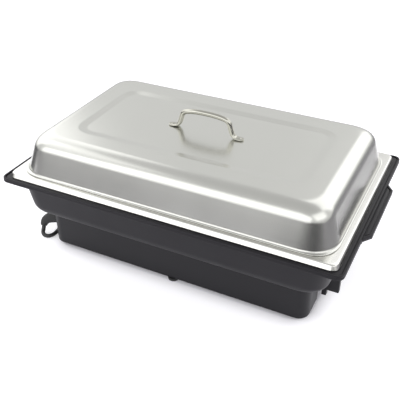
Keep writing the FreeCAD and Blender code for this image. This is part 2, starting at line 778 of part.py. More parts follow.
def make_base_housing():
    """Lower shell, open top and bottom, with a recessed control end and an inlet hole."""
    outer = slab(housing_length, housing_width, housing_corner, housing_bottom, tub_bottom)
    outer = fillet_level(outer, housing_bottom, housing_edge_fillet)
    outer = outer.cut(recess_block(recess_face, recess_width / 2, 0, tub_bottom + through))
    side = recess_width / 2 + housing_wall
    inner = slab(inner_length, inner_width, inner_corner, 0, tub_bottom + through)
    inner = inner.cut(recess_block(recess_inside, side, 0, tub_bottom + through))
    shell = outer.cut(inner)
    ledge = slab(inner_length, inner_width, inner_corner, cover_top, cover_top + ledge_thickness)
    ledge = ledge.cut(recess_block(recess_inside, side, 0, tub_bottom))
    opening = slab(inner_length - 2 * ledge_width, inner_width - 2 * ledge_width,
                   inner_corner - ledge_width, 0, tub_bottom)
    opening = opening.cut(recess_block(recess_inside - ledge_width, side + ledge_width, 0, tub_bottom))
    shell = shell.fuse(ledge.cut(opening))
    window = box(recess_inside - through, recess_face + through,
                 -window_half_width, window_half_width,
                 fascia_bottom + fascia_window_inset, fascia_top - fascia_window_inset)
    shell = shell.cut(window)
    bore = housing_wall + 2 * through
    for side_y in SIDES:
        start = Vec(recess_inside - through, side_y * fascia_screw_y, knob_height)
        shell = shell.cut(rod(m3_radius + screw_gap, start, RIGHT, bore))
    inlet = rod(inlet_neck_radius, Vec(wall_left - through, inlet_y, inlet_height), RIGHT, bore)
    for x, y in post_places:
        shell = shell.cut(rod(post_radius + cover_gap, Vec(x, y, 0), UP, tub_bottom))
    return shell.cut(inlet).removeSplitter()


def make_bottom_cover():
    """Flat cover under the housing with the cord pedestal and the screw and foot holes."""
    gap = 2 * cover_gap
    cover = slab(inner_length - gap, inner_width - gap, inner_corner - cover_gap, housing_bottom, cover_top)
    side = recess_width / 2 + housing_wall + cover_gap
    cover = cover.cut(recess_block(recess_inside - cover_gap, side, 0, tub_bottom))
    pedestal = box(clamp_block_x - clamp_block_length / 2, clamp_block_x + clamp_block_length / 2,
                   inlet_y - clamp_block_width / 2, inlet_y + clamp_block_width / 2, cover_top, pedestal_top)
    cover = cover.fuse(pedestal)
    for side in SIDES:
        start = Vec(clamp_block_x, inlet_y + side * clamp_screw_side, pedestal_top - clamp_screw_length)
        cover = cover.cut(rod(m3_radius + screw_gap, start, UP, clamp_screw_length + through))
    for x, y in post_places:
        cover = cover.cut(rod(post_pilot + base_hole_gap, Vec(x, y, 0), UP, cover_top + through))
    for x, y in foot_places + [(edge_foot_x, side * edge_foot_y) for side in SIDES]:
        cover = cover.cut(rod(foot_stem_radius, Vec(x, y, 0), UP, cover_top + through))
    return cover


def foot_stem(x, y):
    """Stem of a foot through the cover, with the cap that holds it."""
    stem = rod(foot_stem_radius, Vec(x, y, housing_bottom), UP, cover_thickness)
    cap = Part.makeCone(foot_cap_radius, foot_cap_tip, foot_cap_height, Vec(x, y, cover_top), UP)
    return stem.fuse(cap)


def make_corner_feet():
    """Four rubber feet, each pushed through the cover by its stem."""
    feet = []
    for x, y in foot_places:
        pad = rod(foot_radius, Vec(x, y, 0), UP, housing_bottom)
        pad = fillet_level(pad, 0, foot_edge_fillet)
        feet.append(pad.fuse(foot_stem(x, y)).removeSplitter())
    return feet


def make_edge_feet():
    """Small rubber block at the middle of the front and of the back edge."""
    feet = []
    for side in SIDES:
        outer = side * (housing_width / 2 - edge_foot_inset)
        inner = outer - side * edge_foot_width
        block = box(edge_foot_x - edge_foot_length / 2, edge_foot_x + edge_foot_length / 2,
                    min(outer, inner), max(outer, inner), 0, housing_bottom)
        feet.append(block.fuse(foot_stem(edge_foot_x, side * edge_foot_y)).removeSplitter())
    return feet


def make_base_screws():
    """Screws through the cover into the bath's corner posts."""
    screws = []
    for x, y in post_places:
        head = rod(base_head_radius, Vec(x, y, housing_bottom - base_head_height), UP, base_head_height)
        head = fillet_level(head, housing_bottom - base_head_height, base_head_fillet)
        shank = rod(post_pilot, Vec(x, y, housing_bottom), UP, base_screw_length)
        screws.append(head.fuse(shank).removeSplitter())
    return screws


def make_control_hood():
    """Visor with two side cheeks over the controls, and a lug under each cheek."""
    tip = recess_face + hood_reach
    hood = box(recess_face, tip, -hood_half_width, hood_half_width, hood_bottom, hood_top)
    inner = hood_half_width - hood_cheek
    hood = hood.cut(box(recess_face - through, tip + through, -inner, inner,
                        hood_bottom - through, hood_top - hood_visor))
    edges = [edge for edge in hood.Edges
             if edge.BoundBox.ZMin > hood_top - 1e-3 or
             (edge.BoundBox.XMin > tip - 1e-3 and abs(edge.CenterOfMass.y) > hood_half_width - 1e-3)]
    hood = hood.makeFillet(hood_edge_fillet, edges)
    for side in SIDES:
        y_from = min(side * hood_half_width, side * (hood_half_width - lug_width))
        lug = box(recess_face + lug_start, recess_face + lug_start + lug_length, y_from, y_from + lug_width,
                  lug_bottom, hood_bottom)
        hood = hood.fuse(lug)
    return hood.removeSplitter()


def make_control_fascia():
    """Thin plate over the recess window, holed for shaft, switch, lamp and screws."""
    plate = box(recess_face, fascia_face, -fascia_half_width, fascia_half_width, fascia_bottom, fascia_top)
    start_x = recess_face - through
    bore = fascia_thickness + 2 * through
    plate = plate.cut(rod(bush_radius + slip_gap / 2, Vec(start_x, 0, knob_height), RIGHT, bore))
    plate = plate.cut(rod(lamp_radius + slip_gap / 2, Vec(start_x, lamp_y, trim_height), RIGHT, bore))
    half = switch_body_length / 2 + slip_gap / 2
    tall = switch_body_height / 2 + slip_gap / 2
    plate = plate.cut(box(start_x, start_x + bore, switch_y - half, switch_y + half,
                          trim_height - tall, trim_height + tall))
    for side in SIDES:
        start = Vec(start_x, side * fascia_screw_y, knob_height)
        plate = plate.cut(rod(m3_radius + screw_gap, start, RIGHT, bore))
    return plate


def make_fascia_screws():
    """Two screws that hold the fascia to the recessed wall."""
    screws = []
    for side in SIDES:
        y = side * fascia_screw_y
        head = rod(m3_head_radius, Vec(fascia_face, y, knob_height), RIGHT, m3_head_height)
        shank = rod(m3_radius, Vec(fascia_face - m3_length, y, knob_height), RIGHT, m3_length)
        screws.append(head.fuse(shank).removeSplitter())
    return screws


def make_thermostat():
    """Thermostat case with a threaded bush through the fascia."""
    half = thermostat_side / 2
    case = box(thermostat_back, thermostat_front, -half, half,
               knob_height - thermostat_height / 2, knob_height + thermostat_height / 2)
    bush = rod(bush_radius, Vec(thermostat_front, 0, knob_height), RIGHT, bush_tip - thermostat_front)
    bore = rod(shaft_radius + turn_gap, Vec(shaft_start, 0, knob_height), RIGHT,
               bush_tip + through - shaft_start)
    return case.fuse(bush).cut(bore).removeSplitter()


def hexagon(centre, first, second, reach):
    """Corners of a regular hexagon in the plane of two directions."""
    return [centre + first * (reach * math.cos(math.radians(60 * step)))
            + second * (reach * math.sin(math.radians(60 * step))) for step in range(6)]


def make_bush_nut():
    """Hexagon nut that pulls the thermostat against the fascia."""
    centre = Vec(fascia_face, 0, knob_height)
    nut = prism(hexagon(centre, Vec(0, 1, 0), UP, bush_nut_radius), RIGHT * bush_nut_height)
    return nut.cut(rod(bush_radius, centre - RIGHT * through, RIGHT, bush_nut_height + 2 * through))


def make_shaft():
    """Thermostat shaft, turned by the knob."""
    start = shaft_start + shaft_end_gap
    return rod(shaft_radius, Vec(start, 0, knob_height), RIGHT, knob_back + shaft_in_knob - start)


def make_knob():
    """Round knob with a raised grip bar, hollow behind for the nut."""
    axis = Vec(0, 0, knob_height)
    disc = rod(knob_radius, axis + RIGHT * knob_back, RIGHT, knob_skirt)
    front = rod(knob_radius - knob_face_inset, axis + RIGHT * (knob_back + knob_skirt), RIGHT, knob_face)
    grip_half = knob_radius - knob_grip_inset
    tip = knob_back + knob_length
    bar = box(knob_back + knob_skirt, tip, -knob_grip_width / 2, knob_grip_width / 2,
              knob_height - grip_half, knob_height + grip_half)
    bar = bar.makeFillet(knob_grip_fillet, [edge for edge in bar.Edges if edge.BoundBox.XMin > tip - 1e-3])
    hollow = rod(knob_hollow_radius, axis + RIGHT * knob_back, RIGHT, knob_hollow_depth)
    bore = rod(shaft_radius, axis + RIGHT * knob_back, RIGHT, shaft_in_knob)
    return disc.fuse(front).fuse(bar).cut(hollow).cut(bore).removeSplitter()


def switch_block(x_from, x_to, length, height):
    """Block centred on the switch."""
    return box(x_from, x_to, switch_y - length / 2, switch_y + length / 2,
               trim_height - height / 2, trim_height + height / 2)


def rocker_pivot(radius):
    """Pivot pin of the rocker, from wall to wall of the switch."""
    half = rocker_height / 2 + pivot_reach
    return rod(radius, Vec(rocker_axis_x, switch_y, trim_height - half), UP, 2 * half)


def make_switch_body():
    """Snap-in switch case with its front frame and the pivot holes of the rocker."""
    flange = switch_block(fascia_face, switch_front, switch_flange_length, switch_flange_height)
    case = switch_block(switch_back, fascia_face, switch_body_length, switch_body_height)
    well = switch_block(switch_front - switch_well_depth, switch_front + through,
                        switch_well_length, switch_well_height)
    return flange.fuse(case).cut(well).cut(rocker_pivot(pivot_radius + turn_gap)).removeSplitter()


def make_rocker():
    """Rocker with a shallow V front on its pivot, tipped to its off side."""
    half = rocker_length / 2
    front = switch_front + rocker_proud
    back = front - rocker_depth
    slope = half * math.tan(math.radians(rocker_tilt))
    z_from = trim_height - rocker_height / 2
    outline = [(back, rocker_taper - half), (front, -half), (front - slope, 0), (front, half),
               (back, half - rocker_taper)]
    rocker = prism([Vec(x, switch_y + y, z_from) for x, y in outline], UP * rocker_height)
    rocker.rotate(Vec(rocker_axis_x, switch_y, 0), UP, rocker_tilt)
    return rocker.fuse(rocker_pivot(pivot_radius)).removeSplitter()


def make_lamp_lens():
    """Domed lens of the pilot lamp in the fascia."""
    flange = rod(lamp_flange_radius, Vec(fascia_face, lamp_y, trim_height), RIGHT, lamp_flange)
    neck = rod(lamp_radius, Vec(recess_face, lamp_y, trim_height), RIGHT, fascia_thickness)
    front = fascia_face + lamp_flange
    dome = Part.makeSphere(lens_radius, Vec(front - lens_sink, lamp_y, trim_height))
    cap = dome.common(rod(lens_radius, Vec(front, lamp_y, trim_height), RIGHT, lens_radius))
    return flange.fuse(neck).fuse(cap).removeSplitter()


def make_lamp_body():
    """Neon holder behind the lens."""
    start = Vec(recess_face - lamp_body_length, lamp_y, trim_height)
    return rod(lamp_body_radius, start, RIGHT, lamp_body_length)


def make_heater_plate():
    """Flat heated plate over the floor window, with welded studs for nuts and clamps."""
    plate = slab(plate_length, plate_width, plate_corner, seal_top, plate_top, well_x)
    for x, y in stud_places:
        length = seal_top - well_floor_bottom + stud_drop
        plate = plate.fuse(rod(stud_radius, Vec(x, y, seal_top - length), UP, length))
    for x, y in clamp_screw_places:
        low = clamp_top - clamp_thickness - nut_height - clamp_screw_tail
        plate = plate.fuse(rod(clamp_screw_radius, Vec(x, y, low), UP, seal_top - low))
    return plate.removeSplitter()


def make_heater_seal():
    """Flat silicone ring between plate and floor."""
    ring = slab(plate_length, plate_width, plate_corner, well_floor_top, seal_top, well_x)
    hole = slab(window_length, window_width, window_corner, well_floor_top, seal_top, well_x)
    ring = ring.cut(hole)
    for x, y in stud_places:
        ring = ring.cut(rod(stud_radius, Vec(x, y, well_floor_top), UP, seal_thickness))
    return ring


def hex_nut(x, y, z_top, hole_radius):
    """Hexagon nut whose top face is at z_top."""
    centre = Vec(x, y, z_top - nut_height)
    nut = prism(hexagon(centre, RIGHT, Vec(0, 1, 0), nut_across / math.sqrt(3)), UP * nut_height)
    return nut.cut(rod(hole_radius, centre, UP, nut_height))


def make_element():
    """Tubular heating element bent into a long U under the plate."""
    z = element_height
    side = element_y
    bend = element_y - element_nose
    quarter = bend * (1 - math.sqrt(0.5))
    left = element_left
    low = Vec(left + bend, -side, z)
    high = Vec(left + bend, side, z)
    edges = [Part.LineSegment(Vec(element_right, -side, z), low).toShape()]
    nose_low = Vec(left, -side + bend, z)
    nose_high = Vec(left, side - bend, z)
    edges.append(Part.Arc(low, Vec(left + quarter, -side + quarter, z), nose_low).toShape())
    edges.append(Part.LineSegment(nose_low, nose_high).toShape())
    edges.append(Part.Arc(nose_high, Vec(left + quarter, side - quarter, z), high).toShape())
    edges.append(Part.LineSegment(high, Vec(element_right, side, z)).toShape())
    profile = Part.Wire([Part.Circle(Vec(element_right, -side, z), RIGHT, element_radius).toShape()])
    return Part.Wire(edges).makePipeShell([profile], True, False)


def make_element_pins():
    """Terminal pin at each cold end of the element."""
    return [rod(pin_radius, Vec(element_right, side * element_y, element_height), RIGHT, pin_length)
            for side in SIDES]


def make_element_clamps():
    """Bars across the element, drilled for the plate's clamp studs."""
    bars = []
    for x in clamp_places:
        bar = box(x - clamp_width / 2, x + clamp_width / 2, -clamp_half_length, clamp_half_length,
                  clamp_top - clamp_thickness, clamp_top)
        for side in SIDES:
            bar = bar.cut(rod(clamp_screw_radius + screw_gap, Vec(x, side * clamp_stud_y, 0), UP, pan_top))
        bars.append(bar)
    return bars


def make_sensor_bulb():
    """Thermostat bulb held under the plate."""
    return rod(bulb_radius, Vec(bulb_x, bulb_y, bulb_height), RIGHT, bulb_length)


def make_capillary():
    """Copper capillary from the thermostat to the bulb."""
    x = bulb_x + bulb_length
    y = bulb_y
    low = well_floor_bottom - capillary_radius - capillary_gap
    entry = low - capillary_drop
    route = [(x, y, bulb_height), (x + capillary_run, y, bulb_height),
             (x + 2.5 * capillary_run, y + capillary_sway, bulb_height - capillary_sway),
             (x + 4 * capillary_run, y + 2 * capillary_sway, low),
             (well_x + window_length / 2, y + 3 * capillary_sway, low), (tray_right + capillary_run, y, low),
             (thermostat_back - capillary_run, capillary_entry, entry),
             (thermostat_back, capillary_entry, entry)]
    return tube(route, capillary_radius)


def make_cutout():
    """Thermal cut-out pressed to the plate, with its two tabs."""
    base = seal_top - cutout_gap - cutout_height
    body = rod(cutout_radius, Vec(cutout_x, 0, base), UP, cutout_height)
    for side in SIDES:
        start = side * cutout_tab_start
        end = side * cutout_tab_end
        tab = box(cutout_x - cutout_tab_width / 2, cutout_x + cutout_tab_width / 2,
                  min(start, end), max(start, end), base, base + cutout_tab_thickness)
        body = body.fuse(tab)
    return body.removeSplitter()


def make_heat_shield():
    """Shallow sheet tray below the element, screwed to the bath's bosses."""
    tray = slab(tray_length, tray_width, tray_corner,
                boss_bottom - tray_sheet, boss_bottom + tray_height, well_x)
    cut = 2 * tray_sheet
    inside = slab(tray_length - cut, tray_width - cut, tray_corner - tray_sheet,
                  boss_bottom, boss_bottom + tray_height, well_x)
    tray = tray.cut(inside)
    for x, y in boss_places:
        start = Vec(x, y, boss_bottom - tray_sheet - through)
        tray = tray.cut(rod(m3_radius + screw_gap, start, UP, tray_sheet + 2 * through))
    return tray


def make_shield_screws():
    """Screws that hold the tray to its bosses."""
    screws = []
    for x, y in boss_places:
        under = boss_bottom - tray_sheet
        head = rod(m3_head_radius, Vec(x, y, under - m3_head_height), UP, m3_head_height)
        screws.append(head.fuse(rod(m3_radius, Vec(x, y, under), UP, m3_length)).removeSplitter())
    return screws


def make_earth_tab():
    """Tab on one plate stud, under its nut, for the earth wire."""
    x, y = stud_places[0]
    top = well_floor_bottom - nut_height
    half = earth_tab_width / 2
    tab = box(x - half, x + half, y - earth_tab_length, y + half, top - earth_tab_thickness, top)
    return tab.cut(rod(stud_radius + screw_gap, Vec(x, y, 0), UP, pan_top))


def make_terminal_block():
    """Three-pole block on the cover, with a clamp screw over each wire."""
    block = box(block_left, block_right, block_y - block_width / 2, block_y + block_width / 2,
                cover_top, cover_top + block_height)
    for x, y in terminal_places():
        block = block.cut(rod(block_screw_radius, Vec(x, y, cover_top + pole_height), UP, block_height))
    return block


def terminal_places():
    """Centres of the terminal block's clamp screws."""
    return [(block_x + side * block_length / 4, block_y + pole * pole_pitch)
            for pole in POLES for side in SIDES]


def make_terminal_screws():
    """Clamp screws of the terminal block."""
    length = block_height - pole_height - block_screw_sink
    return [rod(block_screw_radius - screw_gap, Vec(x, y, cover_top + pole_height), UP, length)
            for x, y in terminal_places()]


def make_supply_core(pole):
    """One core from the cord's sheath down to its pole of the terminal block."""
    start = inlet_y + pole * core_spread
    end = block_y + pole * pole_pitch
    z = wire_height
    drop_x = tray_left - core_lead
    drop_z = boss_bottom - tray_sheet - core_drop
    route = [(sheath_end, start, inlet_height), (sheath_end + core_run, start, inlet_height),
             (drop_x, (3 * start + end) / 4, drop_z), (block_left - wire_run / 2, end, z),
             (block_left, end, z)]
    return tube(route, wire_radius)


def make_live_wire():
    """From the first pole to the switch."""
    z = wire_height
    y = block_y - pole_pitch
    lane = -tray_width / 2 - live_lane
    high = trim_height - switch_body_height / 4
    route = [(block_right, y, z), (block_right + wire_run, y, z), (block_right + lane_start, lane, z),
             (well_right - lane_end, lane + wire_step, z),
             (well_right - loop_side, lane + loop_rise, z + wire_step),
             (bay_x, lane + bay_reach, z + 2 * wire_step),
             (bay_x + bay_sway, -thermostat_side / 2 - loop_rise, z + wire_step),
             (bay_x, switch_y / 4, z + 2 * wire_step),
             (bay_x + bay_sway, switch_y - bay_sway, z + loop_rise),
             (switch_back - loop_back, switch_y, high), (switch_back, switch_y, high)]
    return tube(route, wire_radius)


def make_neutral_wire():
    """From the middle pole to the element's front pin."""
    z = wire_height
    lane = -tray_width / 2 - neutral_lane
    out = tray_right + edge_clear
    route = [(block_right, block_y, z), (block_right + wire_run, block_y, z),
             (block_right + lane_start, lane, z + wire_step),
             (well_right - lane_end, lane, z + 2 * wire_step),
             (out - 2 * edge_clear, lane + bay_sway, z + bay_sway),
             (out, -tray_width / 2 + edge_clear, (z + wire_under) / 2),
             (out, -(element_y + neutral_turn), wire_under),
             (tray_right - edge_lap, -element_y - bay_sway, wire_under),
             (pin_end + edge_clear, -element_y - wire_step, wire_under),
             (pin_end + wire_end, -element_y, element_height), (pin_end, -element_y, element_height)]
    return tube(route, wire_radius)


def make_earth_wire():
    """From the last pole, over the tray's front edge, to the tab on the heated plate."""
    z = wire_height
    y = block_y + pole_pitch
    tab_x, tab_y = stud_places[0]
    low = well_floor_bottom - nut_height - earth_tab_thickness / 2
    tray_rim = boss_bottom + tray_height
    over = (tray_rim + well_floor_bottom) / 2 + wire_gap
    out = -tray_width / 2 - loop_side
    back = tab_y - earth_tab_length
    route = [(block_right, y, z), (block_right + wire_run - wire_end, y, z),
             (block_right + loop_out - wire_step, (y + out) / 2, z + 3 * wire_step),
             (block_right + loop_out, out, z + loop_rise),
             (block_right + loop_out - bay_sway, out, tray_rim),
             (block_right + loop_back, out + 2 * loop_side, over),
             (block_x, out + loop_out, over - wire_step / 2),
             (tab_x + wire_end, back - loop_out, over - wire_step), (tab_x, back - loop_back, low),
             (tab_x, back, low)]
    return tube(route, earth_radius)


def make_switch_link():
    """Short wire from the switch to the thermostat."""
    y = switch_y + switch_body_length / 4
    z = trim_height + switch_body_height / 4
    case_side = thermostat_side / 2
    end_x = switch_back - wire_end
    route = [(switch_back, y, z), (switch_back - link_side, y, z),
             (switch_back - link_side, y - 1.5 * link_side, z - link_drop),
             (end_x, case_side + link_side, knob_height), (end_x, case_side, knob_height)]
    return tube(route, wire_radius)


def make_element_link():
    """From the thermostat to the element's back pin."""
    start_z = knob_height - thermostat_height / 5
    out = tray_right + edge_clear
    route = [(thermostat_back, -link_side, start_z), (thermostat_back - wire_run, -link_side, start_z),
             (bay_x - loop_back, 2 * link_side, wire_under - link_drop),
             (out, element_y - wire_end, wire_under),
             (tray_right - edge_lap, element_y + wire_step, wire_under),
             (pin_end + edge_clear, element_y + wire_step, wire_under),
             (pin_end + wire_end, element_y, element_height), (pin_end, element_y, element_height)]
    return tube(route, wire_radius)


def make_inner_lead():
    """Sheathed end of the cord, from the strain relief through the clamp."""
    start = wall_left + housing_wall + inlet_flange
    return rod(cord_radius, Vec(start, inlet_y, inlet_height), RIGHT, sheath_end - start)


def make_cord_clamp():
    """Saddle over the sheath, on the cover's pedestal."""
    top = inlet_height + cord_radius + clamp_crown
    x_from = clamp_block_x - clamp_strap_length / 2
    x_to = x_from + clamp_strap_length
    half = cord_radius + clamp_strap
    foot_half = clamp_block_width / 2
    saddle = box(x_from, x_to, inlet_y - half, inlet_y + half, pedestal_top, top)
    saddle = saddle.fuse(box(x_from, x_to, inlet_y - foot_half, inlet_y + foot_half,
                             pedestal_top, pedestal_top + clamp_strap))
    bore = clamp_strap_length + 2 * through
    saddle = saddle.cut(rod(cord_radius, Vec(x_from - through, inlet_y, inlet_height), RIGHT, bore))
    saddle = saddle.cut(box(x_from - through, x_to + through, inlet_y - cord_radius, inlet_y + cord_radius,
                            pedestal_top - through, inlet_height))
    for side in SIDES:
        start = Vec(clamp_block_x, inlet_y + side * clamp_screw_side, pedestal_top - through)
        saddle = saddle.cut(rod(m3_radius + screw_gap, start, UP, clamp_strap + 2 * through))
    return saddle.removeSplitter()


def make_clamp_screws():
    """Two screws that hold the saddle down."""
    screws = []
    top = pedestal_top + clamp_strap
    for side in SIDES:
        y = inlet_y + side * clamp_screw_side
        head = rod(m3_head_radius, Vec(clamp_block_x, y, top), UP, m3_head_height)
        shank = rod(m3_radius, Vec(clamp_block_x, y, top - clamp_screw_length), UP, clamp_screw_length)
        screws.append(head.fuse(shank).removeSplitter())
    return screws


def from_inlet(points):
    """Points measured from the inlet, moved to the part's frame."""
    return [(wall_left + x, inlet_y + y, z) for x, y, z in points]


def make_strain_relief():
    """Rubber elbow: inner flange, neck in the wall, and a tapered boot that droops to the bench."""
    centre = Vec(wall_left, inlet_y, inlet_height)
    flange = rod(inlet_flange_radius, centre + RIGHT * housing_wall, RIGHT, inlet_flange)
    neck = rod(inlet_neck_radius, centre, RIGHT, housing_wall)
    collar = rod(boot_radii[0], centre + RIGHT * boot_places[0][0], RIGHT, -boot_places[0][0])
    low = free_route[0][2]
    places = [(x, y, low + share * (inlet_height - low)) for x, y, share in boot_places]
    rings = []
    for place, radius, aim in zip(from_inlet(places), boot_radii, boot_aims):
        rings.append(Part.Wire([Part.Circle(Vec(*place), Vec(*aim), radius).toShape()]))
    boot = Part.makeLoft(rings, True, False)
    return flange.fuse(neck).fuse(collar).fuse(boot).removeSplitter()


def make_free_cord():
    """Cord from the strain relief, round in a tight curl and back along the housing."""
    route = from_inlet(free_route)
    wire, radii = route_wire(route)
    solid = tube(route, cord_radius)
    print("free cord radii", [round(radius, 1) for radius in radii])
    expected = math.pi * cord_radius ** 2 * wire.Length
    print("free cord length", round(wire.Length, 1), "volume ratio", round(solid.Volume / expected, 5))
    return solid


def coil_places():
    """Centre line of the coil at each quarter turn, in two layers, as points and aims."""
    quarters = int(round(coil_layer_turns * 8))
    half = quarters / 2
    centre_x, centre_y, low = from_inlet([(coil_centre[0], coil_centre[1], free_route[-1][2])])[0]

    def place(step):
        layer_step = step if step <= half else quarters - step
        radius = coil_outer - coil_pitch * layer_step / 4
        rise = min(max((step - half + 1) / 2, 0.0), 1.0)
        rise = rise * rise * (3 - 2 * rise)
        angle = math.pi - step * math.pi / 2
        return Vec(centre_x + radius * math.cos(angle), centre_y + radius * math.sin(angle),
                   low + coil_rise * rise)

    aim_step = 0.02
    points = []
    aims = []
    for step in range(quarters + 1):
        ahead = place(min(step + aim_step, quarters))
        behind = place(max(step - aim_step, 0))
        aim = ahead - behind
        if step in (0, quarters):
            aim = Vec(0, 1 if step == 0 else -1, 0)
        aim.normalize()
        points.append(place(step))
        aims.append(aim)
    return points, aims


def coil_wire():
    """Biarcs through the coil's quarter points, with a straight start and end."""
    points, aims = coil_places()
    start = Vec(*from_inlet(free_route)[-1])
    end = Vec(*from_inlet(lead_route)[0])
    edges = [Part.LineSegment(start, points[0]).toShape()]
    for index in range(len(points) - 1):
        edges += biarc(points[index], aims[index], points[index + 1], aims[index + 1])
    edges.append(Part.LineSegment(points[-1], end).toShape())
    return Part.Wire(edges)


def least_gap(wire, diameter):
    """Smallest clear space between turns, measured on points along the centre line."""
    count = 700
    spots = wire.discretize(Number=count)
    skip = int(4 * diameter / wire.Length * count)
    least = wire.Length
    for first in range(len(spots)):
        for second in range(first + skip, len(spots)):
            apart = (spots[first] - spots[second]).Length
            if apart < least:
                least = apart
    return least - diameter


def make_coil():
    """Put-away length of the cord, wound in two layers as one unbroken tube."""
    wire = coil_wire()
    profile = Part.Wire([Part.Circle(Vec(*from_inlet(free_route)[-1]), Vec(0, 1, 0), cord_radius).toShape()])
    solid = wire.makePipeShell([profile], True, False)
    expected = math.pi * cord_radius ** 2 * wire.Length
    print("coil length", round(wire.Length, 1), "volume ratio", round(solid.Volume / expected, 5))
    print("coil least gap", round(least_gap(wire, 2 * cord_radius), 2))
    return solid


def plug_frame():
    """Back centre of the plug, its direction, the direction across its pins and its front centre."""
    before, back = [Vec(*point) for point in from_inlet(lead_route)[-2:]]
    aim = back - before
    aim.z = 0
    aim.normalize()
    return back, aim, aim.cross(UP), back + aim * (plug_grip_length + plug_length)


def clip_block(side, inner, outer, width, length):
    """Strip along the plug's front, above or below its axis, between two distances from the axis."""
    back, aim, across, face = plug_frame()
    low, high = sorted((side * inner, side * outer))
    corners = [face + across * (sign * width / 2) + UP * low for sign in SIDES]
    corners += [face + across * (sign * width / 2) + UP * high for sign in reversed(SIDES)]
    return prism(corners, aim * -length)


def make_plug_body():
    """Round plug with a narrower grip, two pin bores and a groove above and below for the earth clips."""
    back, aim, across, face = plug_frame()
    grip = Part.makeCone(plug_back_radius, plug_grip_radius, plug_grip_length, back, aim)
    plug = grip.fuse(rod(plug_radius, back + aim * plug_grip_length, aim, plug_length))
    floor = plug_radius - plug_clip_sink - plug_clip_thickness
    for side in SIDES:
        start = face + across * (side * plug_pin_pitch / 2) - aim * plug_pin_set
        plug = plug.cut(rod(plug_pin_radius, start, aim, plug_pin_set))
        groove = plug_clip_width + 2 * clip_gap
        plug = plug.cut(clip_block(side, floor, plug_radius, groove, plug_clip_length))
    return plug.removeSplitter()


def make_plug_clips():
    """Earth contact strip in the floor of each groove."""
    floor = plug_radius - plug_clip_sink - plug_clip_thickness
    return [clip_block(side, floor, floor + plug_clip_thickness, plug_clip_width, plug_clip_length)
            for side in SIDES]


def make_plug_pins():
    """Two round pins set into the plug."""
    back, aim, across, face = plug_frame()
    return [rod(plug_pin_radius, face + across * (side * plug_pin_pitch / 2) - aim * plug_pin_set, aim,
                plug_pin_set + plug_pin_length) for side in SIDES]


def make_plug_lead():
    """Last stretch of the cord, from the coil up to the plug."""
    return tube(from_inlet(lead_route), cord_radius)


def main():
    """Build every sub-part and write its file."""
    os.makedirs("parts", exist_ok=True)
    save("food_pan", make_food_pan())
    save("lid", make_lid())
    save("lid_handle", make_lid_handle())
    save("lid_handle_rivets", *make_rivets())
    save("water_bath", make_water_bath())
    save("left_handle", make_side_handle(-1))
    save("right_handle", make_side_handle(1))
    save("base_housing", make_base_housing())
    save("bottom_cover", make_bottom_cover())
    save("corner_feet", *make_corner_feet())
    save("edge_feet", *make_edge_feet())
    save("base_screws", *make_base_screws())
    save("control_hood", make_control_hood())
    save("control_fascia", make_control_fascia())
    save("fascia_screws", *make_fascia_screws())
    save("thermostat", make_thermostat())
    save("thermostat_nut", make_bush_nut())
    save("thermostat_shaft", make_shaft())
    save("control_knob", make_knob())
    save("switch_body", make_switch_body())
    save("switch_rocker", make_rocker())
    save("pilot_lens", make_lamp_lens())
    save("pilot_lamp", make_lamp_body())
    save("heater_plate", make_heater_plate())
    save("heater_seal", make_heater_seal())
    save("plate_nuts", *[hex_nut(x, y, well_floor_bottom, stud_radius) for x, y in stud_places])
    save("heating_element", make_element())
    save("element_pins", *make_element_pins())
    save("element_clamps", *make_element_clamps())
    clamp_nut_top = clamp_top - clamp_thickness
    save("clamp_nuts", *[hex_nut(x, y, clamp_nut_top, clamp_screw_radius) for x, y in clamp_screw_places])
    save("sensor_bulb", make_sensor_bulb())
    save("capillary", make_capillary())
    save("thermal_cutout", make_cutout())
    save("heat_shield", make_heat_shield())
    save("shield_screws", *make_shield_screws())
    save("earth_tab", make_earth_tab())
    save("terminal_block", make_terminal_block())
    save("terminal_screws", *make_terminal_screws())
    save("live_core", make_supply_core(-1))
    save("neutral_core", make_supply_core(0))
    save("earth_core", make_supply_core(1))
    save("live_wire", make_live_wire())
    save("neutral_wire", make_neutral_wire())
    save("earth_wire", make_earth_wire())
    save("switch_link", make_switch_link())
    save("element_link", make_element_link())
    save("cord_clamp", make_cord_clamp())
    save("clamp_screws", *make_clamp_screws())
    save("inner_lead", make_inner_lead())
    save("strain_relief", make_strain_relief())
    save("mains_cord", make_free_cord())
    save("mains_cord_coil", make_coil())
    save("mains_cord_end", make_plug_lead())
    save("plug_body", make_plug_body())
    save("plug_clips", *make_plug_clips())
    save("plug_pins", *make_plug_pins())


main()
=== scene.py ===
import json
import math

import bmesh
import bpy
from mathutils import Matrix, Vector


